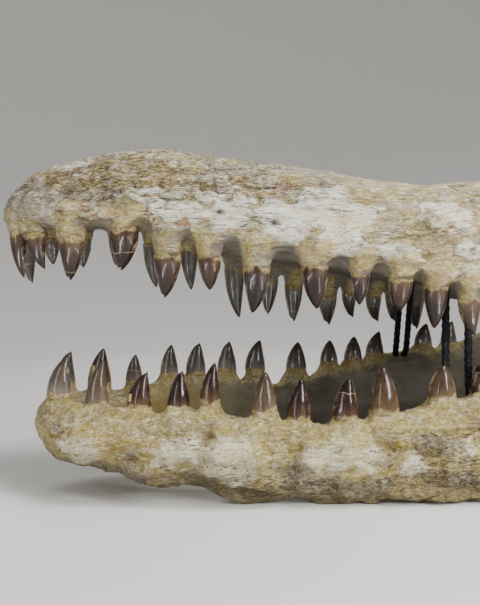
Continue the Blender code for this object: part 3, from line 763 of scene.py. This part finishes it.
# Patches seen on the left side, by mask: (station, height, half length, half height), in
# millimetres, and then the slope in degrees, downwards to the rear, if there is one
CRANIUM_PATCHES = {
    "white": [(137, 304, 15, 5, 12), (160, 312, 30, 5, 4), (175, 291, 27, 12, 2),
              (226, 287, 26, 15, 2), (202, 308, 14, 6, 5), (240, 303, 11, 6),
              (276, 286, 30, 24, 12), (328, 294, 44, 25, 10), (331, 258, 32, 13, 14),
              (388, 252, 26, 9, 4), (442, 290, 30, 17, 8), (458, 254, 13, 9, 20),
              # The white patch at (68, 340), on the snout's top edge, is a painted highlight
              (430, 236, 20, 6, 5), (68, 340, 20, 5, -14), (100, 288, 8, 5, 10),
              (520, 300, 36, 18, 6), (600, 322, 30, 10), (690, 322, 40, 9), (560, 230, 34, 12, 8),
              (800, 318, 40, 10), (740, 205, 26, 10), (930, 296, 18, 12)],
    "ochre": [(147, 329, 48, 14, 4), (298, 325, 10, 8), (355, 307, 14, 5), (395, 292, 14, 8),
              (422, 264, 22, 20, 10), (200, 282, 10, 6), (248, 276, 8, 7), (560, 280, 24, 16),
              (640, 218, 30, 10), (860, 312, 30, 12)],
    "rust": [(279, 320, 9, 7, -35), (425, 292, 10, 6, 10), (443, 277, 8, 4), (100, 301, 5, 5, 60),
             (82, 296, 11, 4, 18), (178, 280, 8, 4), (548, 310, 9, 5), (905, 300, 10, 8)],
    "grey": [(16, 304, 34, 30, -6), (236, 336, 36, 8, 4), (323, 324, 7, 12), (34, 281, 28, 8),
             (112, 296, 10, 8), (304, 343, 58, 8, 6), (500, 250, 18, 10), (770, 312, 20, 12)]}
JAW_PATCHES = {
    "white": [(79, 61, 16, 14), (177, 59, 27, 12), (224, 49, 30, 27), (317, 55, 25, 20),
              (348, 56, 25, 18, 8), (402, 41, 16, 13), (155, 46, 12, 7), (470, 62, 20, 16),
              (560, 70, 40, 22, 4), (660, 96, 40, 24), (790, 70, 46, 20), (880, 66, 30, 18)],
    "ochre": [(119, 65, 20, 8), (141, 57, 7, 7), (256, 63, 13, 9), (408, 15, 9, 6),
              (378, 36, 8, 5), (452, 84, 14, 16, 30), (86, 76, 22, 7), (310, 70, 14, 7),
              (388, 58, 9, 12), (468, 52, 8, 20), (520, 50, 26, 14), (720, 60, 30, 16),
              (930, 70, 22, 14)],
    "grey": [(312, 22, 32, 10, 8), (350, 19, 30, 9, 4), (60, 84, 14, 10), (288, 32, 12, 15),
             (424, 62, 28, 8, 14), (458, 30, 26, 8, 8), (118, 36, 24, 8, 10), (620, 30, 40, 12)],
    "flaky": [(405, 63, 44, 15, 14), (440, 34, 60, 22, 8), (700, 70, 60, 30)],
    "rust": [(750, 84, 10, 7)]}
# Broad forms: how far they stand out, in millimetres, and then as above
CRANIUM_FORMS = [
    (-2.2, 118, 300, 12, 16), (-1.5, 84, 299, 10, 8, 18), (1.2, 147, 332, 52, 15, 4),
    (-1.2, 210, 310, 50, 5, 4), (-1.0, 300, 312, 60, 6, 10), (-1.8, 422, 264, 20, 20, 10),
    (-1.2, 355, 307, 30, 8, 8), (1.5, 388, 252, 28, 10, 6), (1.4, 331, 258, 34, 12, 14),
    (1.4, 440, 290, 30, 17, 8), (1.4, 30, 312, 16, 14), (1.6, 520, 300, 36, 18, 6),
    (-1.6, 490, 262, 22, 22), (1.4, 560, 236, 34, 14, 6), (-1.2, 600, 300, 24, 14)]
JAW_FORMS = [
    (2.6, 79, 60, 26, 19), (-1.8, 117, 54, 5, 24, -62), (1.2, 124, 62, 18, 9),
    (-1.8, 159, 68, 5, 24, -62), (2.2, 177, 58, 24, 14), (-1.6, 199, 66, 8, 24),
    (4.6, 226, 50, 34, 27), (2.8, 150, 30, 34, 9, 12), (-2.2, 240, 13, 24, 8),
    (-2.2, 277, 46, 14, 27), (3.2, 318, 57, 28, 18), (-1.6, 345, 22, 46, 9, 4),
    (2.8, 395, 68, 38, 7, 12), (-2.2, 404, 53, 30, 5, 14), (2.0, 402, 40, 16, 11),
    (2.2, 412, 14, 34, 7, 4), (-2.2, 371, 50, 9, 20), (2.2, 450, 46, 22, 28),
    (-1.2, 60, 96, 8, 10), (2.2, 520, 62, 30, 20), (-2.2, 582, 42, 24, 20), (2.6, 640, 72, 42, 22),
    (-2.4, 722, 52, 26, 26), (2.2, 800, 62, 42, 20), (-2.0, 880, 50, 24, 20),
    (2.0, 940, 60, 26, 20)]
# Sutures between bones. From the side: station and height. From above: station and distance
# from the middle.
JAW_SEAMS = [[(575, 122), (600, 100), (612, 82), (640, 66), (630, 52), (560, 40), (500, 30)],
             [(640, 66), (700, 60), (780, 52), (850, 44), (905, 36)],
             [(860, 132), (868, 110), (884, 92), (880, 70), (905, 58)]]
CRANIUM_SEAMS = [[(470, 330), (500, 300), (520, 276), (560, 262), (610, 250)],
                 [(640, 236), (655, 222), (664, 200)]]
TOP_SEAMS = [[(60, 40), (110, 34), (160, 30), (215, 24), (262, 16)],
             [(262, 16), (330, 34), (420, 44), (500, 60), (560, 70), (630, 78)],
             [(380, 0), (392, 20), (420, 44)],
             [(745, 0), (752, 20), (742, 40), (756, 62), (748, 84)],
             [(830, 60), (846, 74), (842, 96)]]
SEAM_HALF_WIDTH = 1.7
JAW_FORM_STRENGTH = 1.3
RIGHT_SIDE_SHIFT = 23.0    # the right side has like patches, but not in the same places
FORAMINA = [(214, 292, 4.2, 2.6), (267, 282, 4.4, 2.4), (492, 238, 3.0, 2.0)]


def mesh_points(mesh):
    """The places and the normals of a mesh's points."""
    found = []
    for kind in ("co", "normal"):
        values = np.empty(len(mesh.vertices) * 3)
        mesh.vertices.foreach_get(kind, values)
        found.append(values.reshape(-1, 3))
    return found


def move_points(mesh, places):
    mesh.vertices.foreach_set("co", places.ravel())
    mesh.update()


def step(values, low, high):
    """0 at low, 1 at high and smooth between."""
    share = np.clip((values - low) / (high - low), 0, 1)
    return share * share * (3 - 2 * share)


def facing_side(places, normals, side):
    facing = step(normals[:, 1] * side + normals[:, 2] * 0.5, 0.05, 0.35)
    return facing * (places[:, 1] * side > 0)


def wandering(station, height):
    """Small shifts, in millimetres, that keep the edges of patches from being plain ovals."""
    along = 2.4 * np.sin(height / 3.1 + 1.9 * np.sin(station / 9.7)) + 1.5 * np.sin(height / 1.7)
    above = 1.8 * np.sin(station / 4.3 + 1.7 * np.sin(height / 6.1)) + 1.0 * np.sin(station / 2.1)
    return station + along, height + above


def oval(station, height, middle, middle_height, long, tall, slope=0):
    """How far points are from a tilted oval's middle: 1 at its edge."""
    turn = math.radians(slope)
    along, above = station - middle, height - middle_height
    u = (along * math.cos(turn) - above * math.sin(turn)) / long
    v = (along * math.sin(turn) + above * math.cos(turn)) / tall
    return np.sqrt(u * u + v * v)


def raise_mask(masks, key, values):
    masks[key] = np.maximum(masks[key], values)


def patch_masks(masks, patches, forms, places, normals):
    station, height = wandering(station_of(places[:, 0]), places[:, 2] / MM)
    for side in (LEFT, RIGHT):
        facing = facing_side(places, normals, side)
        shifted = station - (RIGHT_SIDE_SHIFT if side == RIGHT else 0.0)
        for key, ovals in patches.items():
            for shape in ovals:
                away = oval(shifted, height, *shape)
                raise_mask(masks, key, np.clip(1.25 - 0.75 * away, 0, 1) * facing)
        for out, *shape in forms:
            masks["form"] += out * step(oval(shifted, height, *shape), 1.15, 0.75) * facing


def line_distance(across, up, line):
    """Distance of points from a line through the given corners."""
    nearest = np.full(len(across), np.inf)
    for (x0, y0), (x1, y1) in zip(line, line[1:]):
        dx, dy = x1 - x0, y1 - y0
        share = np.clip(((across - x0) * dx + (up - y0) * dy) / (dx * dx + dy * dy), 0, 1)
        nearest = np.minimum(nearest, np.hypot(across - x0 - share * dx, up - y0 - share * dy))
    return nearest


def seam_masks(masks, lines, station, other, facing):
    """Sutures as wandering grooves."""
    shaken, lifted = wandering(station, other)
    for line in lines:
        away = line_distance(shaken, lifted, line)
        raise_mask(masks, "seam", np.exp(-(away / SEAM_HALF_WIDTH) ** 2) * facing)


# How far sandy matrix reaches from a root, and how far up into the bone
UPPER_SANDY, LOWER_SANDY = (13 * MM, 34 * MM), (12 * MM, 26 * MM)


def sandy_mask(places, teeth, reach, depth):
    """Matrix round each root, fading out along the gum and up into the bone."""
    x, y, z = places.T
    found = np.zeros(len(places))
    for t in teeth:
        away = np.hypot(x - t.foot.x, y - t.foot.y) - t.radius
        deep = (t.foot.z - z) * t.up
        near = step(away, reach, reach * 0.25) * step(deep, depth, depth * 0.5)
        found = np.maximum(found, near)
    return found


# Where masks begin and where they are whole. On the cranium: heights, and stations from the tip
FLAKY_HEIGHTS, LAYERED_HEIGHTS, MOUTH_HEIGHTS = (292, 306), (296, 316), (320, 300)
FEWER_FLAKES, SMOOTH_TIP_BONE, CLEAN_TIP = (240, 330), (75, 30), (90, 40)
# On the jaws: depths under the gum, heights, and x along the skull
BAND_DEPTHS, REAR_DEPTHS = (36 * MM, 18 * MM), (18 * MM, 34 * MM)
FOOT_HEIGHTS, UNDERSIDE_SHADE_HEIGHTS = (50 * MM, 24 * MM), (75 * MM, 30 * MM)
BAND_END, MATRIX_END = (0.12, 0.08), (0.36, 0.18)
CHIN_END, REAR_START = (-0.44, -0.40), (-0.12, -0.08)
MATRIX_SLANT = 0.8        # how far its end leans forwards, for each metre up


def cranium_masks(masks, places, normals, teeth, hollow):
    patch_masks(masks, CRANIUM_PATCHES, CRANIUM_FORMS, places, normals)
    x, y, z = places.T
    back, right, up = normals.T
    station, height = station_of(x), z / MM
    for side in (LEFT, RIGHT):
        seam_masks(masks, CRANIUM_SEAMS, station, height, facing_side(places, normals, side))
        # Foramina: shallow pits whose dark colour is painted shade
        for middle, middle_height, long, tall in FORAMINA:
            u = (station - middle) / long
            v = (height - middle_height) / tall
            raise_mask(masks, "pit", np.exp(-(u * u + v * v)) * (right * side > 0.3))
    seam_masks(masks, TOP_SEAMS, station, np.abs(y) / MM, step(up, 0.3, 0.7))
    outside = step(right * np.sign(y) + up, 0.0, 0.4)
    fewer = 1 - 0.65 * step(station, *FEWER_FLAKES)
    raise_mask(masks, "flaky", outside * step(height, *FLAKY_HEIGHTS) * fewer)
    raise_mask(masks, "flaky", 0.3 * outside)
    masks["flaky"] *= 1 - 0.5 * step(station, *SMOOTH_TIP_BONE)
    masks["worn"] = step(up, 0.55, 0.9)
    masks["grey"] *= 1 - 0.6 * step(-back, 0.7, 0.95)
    layered = 0.3 + 0.5 * step(height, *LAYERED_HEIGHTS)
    masks["layered"] = outside * layered * (1 - 0.65 * masks["worn"])
    masks["sandy"] = sandy_mask(places, teeth, *UPPER_SANDY) * (1 - 0.45 * step(station, *CLEAN_TIP))
    # Dark matrix in the mouth and under the arches between teeth, its darkness partly painted shade
    mouth = step(-up, 0.15, 0.6) * step(height, *MOUTH_HEIGHTS)
    under = step(hollow, 0.25, 0.6) * step(-up, -0.1, 0.4)
    masks["sandy"] *= 1 - 0.8 * under
    masks["putty_and_shade"] = np.maximum(mouth, under) * (1 - masks["sandy"] * 0.8)


def jaw_masks(masks, places, normals, row, _):
    patch_masks(masks, JAW_PATCHES, JAW_FORMS, places, normals)
    masks["form"] *= JAW_FORM_STRENGTH
    side = row[0].side
    x, _, z = places.T
    seam_masks(masks, JAW_SEAMS, station_of(x), z / MM, facing_side(places, normals, side))
    masks["sandy"] = sandy_mask(places, row, *LOWER_SANDY)
    under_gum = np.interp(x, [t.foot.x for t in row], [t.foot.z for t in row]) - z
    outward = normals[:, 1] * side
    band = step(under_gum, *BAND_DEPTHS) * step(outward, -0.3, 0.2)
    raise_mask(masks, "sandy", band * 0.72 * step(x, *BAND_END))
    # Dark matrix, darkened in part as painted shade, fills the inner side in front and ends as a
    # slanting edge behind
    filled = step(x + z * MATRIX_SLANT, *MATRIX_END)
    masks["putty_and_shade"] = step(-outward, 0.1, 0.6) * filled * (1 - masks["sandy"] * 0.8)
    raise_mask(masks, "flaky", 0.25 * step(outward, 0, 0.4))
    # Painted shade where the jaw's skin faces down, low on the jaw
    masks["underside_shade"] = step(-normals[:, 2], -0.15, 0.75) * step(z, *UNDERSIDE_SHADE_HEIGHTS)
    # Ledges show low on the jaw behind the chin, and under the gum further back
    foot = step(z, *FOOT_HEIGHTS) * step(x, *CHIN_END)
    rear = step(x, *REAR_START) * step(under_gum, *REAR_DEPTHS)
    masks["layered"] = np.maximum(np.maximum(foot, rear), 0.25) * step(outward, -0.1, 0.3)


def quadrate_masks(masks, places, *_):
    height = places[:, 2]
    masks["flaky"][:] = 0.5
    masks["white"] = 0.55 * step(height, 0.16, 0.22)
    masks["grey"] = 0.5 * step(height, 0.19, 0.14)


def add_masks(made, fill_masks, teeth, hollow):
    """Says on each point how white, stained, sandy and so on the bone is there."""
    places, normals = mesh_points(made.data)
    masks = {key: np.zeros(len(places)) for key in BONE_MASKS}
    fill_masks(masks, places, normals, teeth, hollow)
    for key, values in masks.items():
        attribute = made.data.attributes.new(key, "FLOAT", "POINT")
        attribute.data.foreach_set("value", values.astype(np.float32))


def lighten(made):
    """Takes out triangles, flat places first, until the piece is light enough."""
    count = sum(len(p.vertices) - 2 for p in made.data.polygons)
    if count <= MOST_TRIANGLES:
        return
    fewer = made.modifiers.new("fewer", "DECIMATE")
    fewer.ratio = MOST_TRIANGLES / count
    baked(made)


def stand_on_floor(made):
    """Flattens what the relief pushed under the floor."""
    places, _ = mesh_points(made.data)
    places[:, 2] = np.maximum(places[:, 2], 0.0)
    move_points(made.data, places)


def dress_bone(name, node, finish, relief, teeth, fill_masks):
    """A bone's solid as a weathered skin, in its own place."""
    bm = bone_copy(node)
    surface = BVHTree.FromBMesh(bm)
    for tooth in teeth:
        add_pedestal(bm, tooth)
    for tooth in teeth:
        if tooth.name in FLAKES:
            add_flake(bm, tooth, *FLAKES[tooth.name])
    for lump in LUMPS.get(node, []):
        add_lump(bm, *lump)
    made = remeshed(bm, name)
    hollow = 0.0
    for side in (LEFT, RIGHT):
        row = [t for t in teeth if t.side == side]
        if row:
            hollow = np.maximum(hollow, shape_arches(made, row, surface))
    add_masks(made, fill_masks, teeth, hollow)
    run_tree(made, relief, Material=finish)
    lighten(made)
    stand_on_floor(made)
    made.data.shade_smooth()
    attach(made, "root")
    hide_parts(node)


# Crowns

CROWN_ROUND, CROWN_RISE = 40, 34          # faces round it and from base to tip
CROWN_THICKNESS, CROWN_OVERLAP = 0.88, 1.04
KEEL_SHARPNESS, FLUTES_ROUND, TIP_BLUNTNESS, UNEVENNESS = 14.0, 11.0, 0.22, 0.14
BURIED = 5 * MM           # how far a crown's base goes into its pedestal
WELD = 0.02 * MM
CROWN_NUMBERS = dict.fromkeys(["Radius", "Height", "Thickness", "Lean back", "Lean in", "Keel",
                               "Flutes", "Broken at", "Tone", "Ring at", "Seed"], 0.0)


def crown_tree():
    """One enamel crown: a cone that curves over, with a keel before and behind, shallow
    flutes, and a tip that may be broken off."""
    tree, inside, numbers = new_group("crown", CROWN_NUMBERS)
    radius, height, thickness, back, inward, keel, flutes, broken, tone, ring, seed = numbers
    kept = tree.term("GeometryNodeMeshGrid", {
        "Size X": 1.0, "Size Y": 1.0, "Vertices X": CROWN_ROUND + 1, "Vertices Y": CROWN_RISE + 1})
    angle = (tree.axis("X") + 0.5) * math.tau
    rise = tree.axis("Y") + 0.5
    first = 2.0 / CROWN_RISE
    up = ((rise - first) / (1.0 - first)).math("MAXIMUM", 0.0)
    under = rise.fade(0.0, 1.0 / CROWN_RISE)
    cos, sin = angle.math("COSINE"), angle.math("SINE")
    bent = up ** 3.0
    blunt = (1.0 - up).math("MAXIMUM", 0.0) ** 0.5 * bent * TIP_BLUNTNESS
    taper = (1.0 - up ** TAPER).math("MAXIMUM", 0.0) ** BULGE + blunt
    ends = cos.math("ABSOLUTE")
    edge = ends ** KEEL_SHARPNESS * keel * (up * 3.0).math("MINIMUM", 1.0)
    ribs = (angle * FLUTES_ROUND + seed).math("COSINE") * flutes * (1.0 - up * 0.6)
    place = tree.vector(cos * 1.4, sin * 1.4, up * 2.0 + seed)
    uneven = (tree.noise(1.0, place=place) - 0.5) * UNEVENNESS
    wide = radius * taper * under * (edge + ribs + uneven + 1.0)
    top = (up * height).math("MINIMUM", broken * height + uneven * height * 0.5 + cos * radius * 0.2)
    z = top - rise.fade(first, 0.0) * BURIED
    x = cos * wide + back * bent
    y = sin * wide * thickness + inward * bent
    for name, value in (("crown_up", up), ("crown_tone", tone), ("crown_ring", ring),
                        ("crown_keel", ends ** 10.0 * up.fade(0.05, 0.3))):
        kept = tree.store(kept, name, value)
    kept = tree.store(kept, "crown_round", tree.vector(cos, sin, up * 2.0 + seed), "FLOAT_VECTOR")
    shape = tree.term("GeometryNodeSetPosition", {"Geometry": kept, "Position": tree.vector(x, y, z)})
    weld = tree.term("GeometryNodeMergeByDistance", {"Geometry": shape, "Distance": WELD})
    return tree.finish(weld, inside.outputs["Material"])


# What each row's first crowns look like: (tone, broken at, ring at), without what a crown with a
# whole tip or no ring hasn't got. The rest are drawn at random.
CROWN_LOOKS = {
    "left_premaxillary": [(0.45,), (0.5,)],
    "left_maxillary": [(0.45, 0.93, 0.8), (0.6, 0.9, 0.55), (0.5, 0.95), (0.4,), (0.95,), (0.65,),
                       (0.7,), (0.4, 0.8), (0.8,), (0.3,)],
    "left_dentary": [(0.1, 0.92), (0.2,), (0.55, 0.93), (0.7, 0.97), (0.6,), (0.24, 0.95), (0.7,),
                     (0.62, 0.95, 0.62), (0.33,), (0.28, 0.97)],
    "right_dentary": [None, (0.4,), (0.1, 1.0, 0.4)]}
WHOLE, NO_RING = 1.0, 2.0
SMOOTH_TIP = 1.3          # what the tree takes as its break for a whole tip


def known_look(tone, broken=WHOLE, ring=NO_RING):
    return tone, broken, ring


def crown_look(tooth):
    row, number = tooth.name.split("_tooth_")
    look = dict(enumerate(CROWN_LOOKS.get(row, []), 1)).get(int(number))
    if look:
        return known_look(*look)
    rng = np.random.default_rng(tooth.seed + 5)
    low, high = (0.0, 0.1) if tooth.side == RIGHT else (0.3, 0.9)
    broken = WHOLE if rng.random() < 0.6 else rng.uniform(0.88, 0.97)
    ring = rng.uniform(0.3, 0.8) if rng.random() < 0.3 else NO_RING
    return rng.uniform(low, high), broken, ring


def dress_crown(tooth, group, finish):
    name = tooth.name + "_crown"
    made = in_scene(name, bpy.data.meshes.new(name))
    rng = np.random.default_rng(tooth.seed)
    tone, broken, ring = crown_look(tooth)
    lean = tooth.to_world().inverted() @ tooth.tip
    run_tree(made, group, Radius=tooth.radius * CROWN_OVERLAP, Height=tooth.height,
             Thickness=CROWN_THICKNESS, Lean_back=lean.x, Lean_in=lean.y,
             Keel=float(rng.uniform(0.05, 0.09)), Flutes=float(rng.uniform(0.006, 0.016)),
             Broken_at=SMOOTH_TIP if broken >= WHOLE else float(broken), Tone=float(tone),
             Ring_at=float(ring), Seed=float(tooth.seed % 89), Material=finish)
    made.data.transform(tooth.to_world())
    made.data.shade_smooth()
    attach(made, "root")
    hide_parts(tooth.name)


# Props

ROD_RADIUS = 4.0 * MM
ROD_TWIST = 700.0         # turns of the rod's ribs, in radians for each metre
ROD_SIDES, ROD_STEP = 18, 1.2 * MM
RIB_HEIGHT, ROD_ROUGHNESS = 0.3 * MM, 2.0 * MM
LEG_LEAN = 3 * MM         # how far back a rod's leg leans, from its foot to the palate
FOOT_SUNK = 18 * MM       # how deep a rod's foot sits in the jaw's matrix


def rod_tree():
    """A rough rod with twisted ribs along a path."""
    names = ("Radius", "Twist", "Rib height", "Roughness")
    tree, inside, (radius, twist, rib, rough) = new_group("rod", dict.fromkeys(names, 0.0), "Path")
    even = tree.term("GeometryNodeResampleCurve",
                     {"Curve": inside.outputs[0], "Length": ROD_STEP}, mode="LENGTH")
    ring = tree.term("GeometryNodeCurvePrimitiveCircle",
                     {"Resolution": ROD_SIDES, "Radius": radius}, mode="RADIUS")
    along = tree.term("GeometryNodeSplineParameter", output="Length")
    turn = tree.term("GeometryNodeInputIndex") * (math.tau / ROD_SIDES)
    skin = tree.term("GeometryNodeCurveToMesh", {
        "Curve": tree.store(even, "run", along), "Profile Curve": tree.store(ring, "round", turn),
        "Fill Caps": True})
    angle = tree.attribute("round") * 2.0 + tree.attribute("run") * twist
    knobs = (tree.noise(420, (1, 1, 1), 3.0, 0.7) - 0.5) * rough
    rod = tree.pushed(skin, angle.math("COSINE") * rib + knobs)
    return tree.finish(rod, inside.outputs["Material"])


def prop_route(node):
    """The rod's line, from its solid's box: up one leg, down into the jaw's matrix, along
    inside it and up again."""
    low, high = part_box(node)
    side = LEFT if high.y < 0 else RIGHT
    near, far = sorted((abs(low.y), abs(high.y)))
    foot_across = far - ROD_RADIUS
    bottom = low.z + ROD_RADIUS
    first, second = low.x + ROD_RADIUS, high.x - (ROD_RADIUS + LEG_LEAN)
    leg = [(LEG_LEAN, near + ROD_RADIUS, high.z), (0, foot_across, bottom + 7 * MM),
           (0, foot_across + 2 * MM, bottom - 2 * MM)]
    buried = (foot_across + 10 * MM, bottom - FOOT_SUNK)
    down = [(first + back, across, height) for back, across, height in leg]
    up = [(second + back, across, height) for back, across, height in reversed(leg)]
    along = [(first + 3 * MM, *buried), (second - 3 * MM, *buried)]
    return [Vector((x, side * across, height)) for x, across, height in down + along + up]


def dress_prop(side, group, finish):
    node = side + "_prop"
    route = prop_route(node)
    curve = bpy.data.curves.new(node + "_rod", "CURVE")
    curve.dimensions = "3D"
    spline = curve.splines.new("POLY")
    spline.points.add(len(route) - 1)
    for point, place in zip(spline.points, route):
        point.co = (*place, 1.0)
    path = in_scene("path", curve)
    add_tree(path, group, Radius=ROD_RADIUS, Twist=ROD_TWIST, Rib_height=RIB_HEIGHT,
             Roughness=ROD_ROUGHNESS, Material=finish)
    made = in_scene(node + "_rod", result(path))
    bpy.data.objects.remove(path)
    made.data.shade_smooth()
    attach(made, "root")
    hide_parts(node)


# Floor, light and air

FLOOR_RADIUS, FLOOR_BEND, BACKDROP_TOP = 1.5, 1.8, 2.8
FLOOR_SIDES, BEND_STEPS = 96, 16
AIR_BRIGHTNESS = 0.22


def add_floor():
    """A pale round floor whose rim curves up into a backdrop all round."""
    profile = [(0.02, 0.0), (FLOOR_RADIUS, 0.0)]
    for i in range(1, BEND_STEPS + 1):
        angle = math.pi / 2 * i / BEND_STEPS
        profile.append((FLOOR_RADIUS + FLOOR_BEND * math.sin(angle),
                        FLOOR_BEND * (1 - math.cos(angle))))
    profile.append((FLOOR_RADIUS + FLOOR_BEND, BACKDROP_TOP))
    turns = [math.tau * i / FLOOR_SIDES for i in range(FLOOR_SIDES)]
    rings = [[(r * math.cos(turn), r * math.sin(turn), z) for turn in turns] for r, z in profile]
    bm = bmesh.new()
    loops, _ = join_rings(bm, reversed(rings))
    bm.faces.new(loops[-1])
    floor = object_of(bm, "floor")
    floor.data.shade_smooth()
    pale, tree, shader = new_material("floor")
    tree.feed(shader, Base_Color=paint(218, 216, 212), Roughness=0.9)
    floor.data.materials.append(pale)


# Softboxes: (name, place, size, watts)
SOFTBOXES = [("left_box", (-1.3, -1.0, 0.6), (0.1, 1.1), 8),
             ("right_box", (0.75, -1.25, 0.95), (0.22, 1.0), 34),
             ("top_box", (0.35, -0.5, 1.7), (0.8, 0.6), 32),
             ("back_box", (-0.2, 1.35, 1.9), (1.2, 0.8), 14)]
# Strips that lie on the floor before the skull and only make highlights on the upper crowns:
# (name, place, size, watts)
SHEEN_STRIPS = [("sheen_left", (-0.68, -0.60, 0.01), (0.04, 0.66), 3.5),
                ("sheen_right", (0.08, -0.62, 0.01), (0.03, 0.66), 2.7)]
LIT_POINT = Vector((0.0, 0.0, 0.18))


def add_light(name, place, size, watts):
    data = bpy.data.lights.new(name, "AREA")
    data.shape = "RECTANGLE"
    data.size, data.size_y = size
    data.energy = watts
    light = in_scene(name, data)
    light.location = place
    return light


def add_lights():
    for box in SOFTBOXES:
        light = add_light(*box)
        aim = LIT_POINT - light.location
        light.rotation_euler = aim.to_track_quat("-Z", "Y").to_euler()
    for strip in SHEEN_STRIPS:
        light = add_light(*strip)
        light.rotation_euler = (math.pi, 0, 0)
        light.visible_camera = False
        light.visible_diffuse = False
    world = bpy.data.worlds.new("studio")
    world.use_nodes = True
    background = world.node_tree.nodes["Background"]
    background.inputs["Color"].default_value = paint(226, 230, 236)
    background.inputs["Strength"].default_value = AIR_BRIGHTNESS
    bpy.context.scene.world = world


def main():
    add_camera()
    bone = bone_material("fossil bone", CRANIUM_COLOURS, CRANIUM_LOOK)
    jaw_bone = bone_material("jaw bone", JAW_COLOURS, JAW_LOOK)
    enamel, steel = enamel_material(), steel_material()
    relief, crown, rod = bone_relief_tree(), crown_tree(), rod_tree()
    teeth = read_teeth()
    upper = [t for t in teeth if t.up < 0]
    dress_bone("cranium_bone", "cranium", bone, relief, upper, cranium_masks)
    for side, sign in SIDES.items():
        row = [t for t in teeth if t.up > 0 and t.side == sign]
        dress_bone(side + "_jaw_bone", side + "_lower_jaw", jaw_bone, relief, row,
                   jaw_masks)
        dress_bone(side + "_quadrate_bone", side + "_quadrate", bone, relief, [],
                   quadrate_masks)
        dress_prop(side, rod, steel)
    for tooth in teeth:
        dress_crown(tooth, crown, enamel)
    add_floor()
    add_lights()


main()
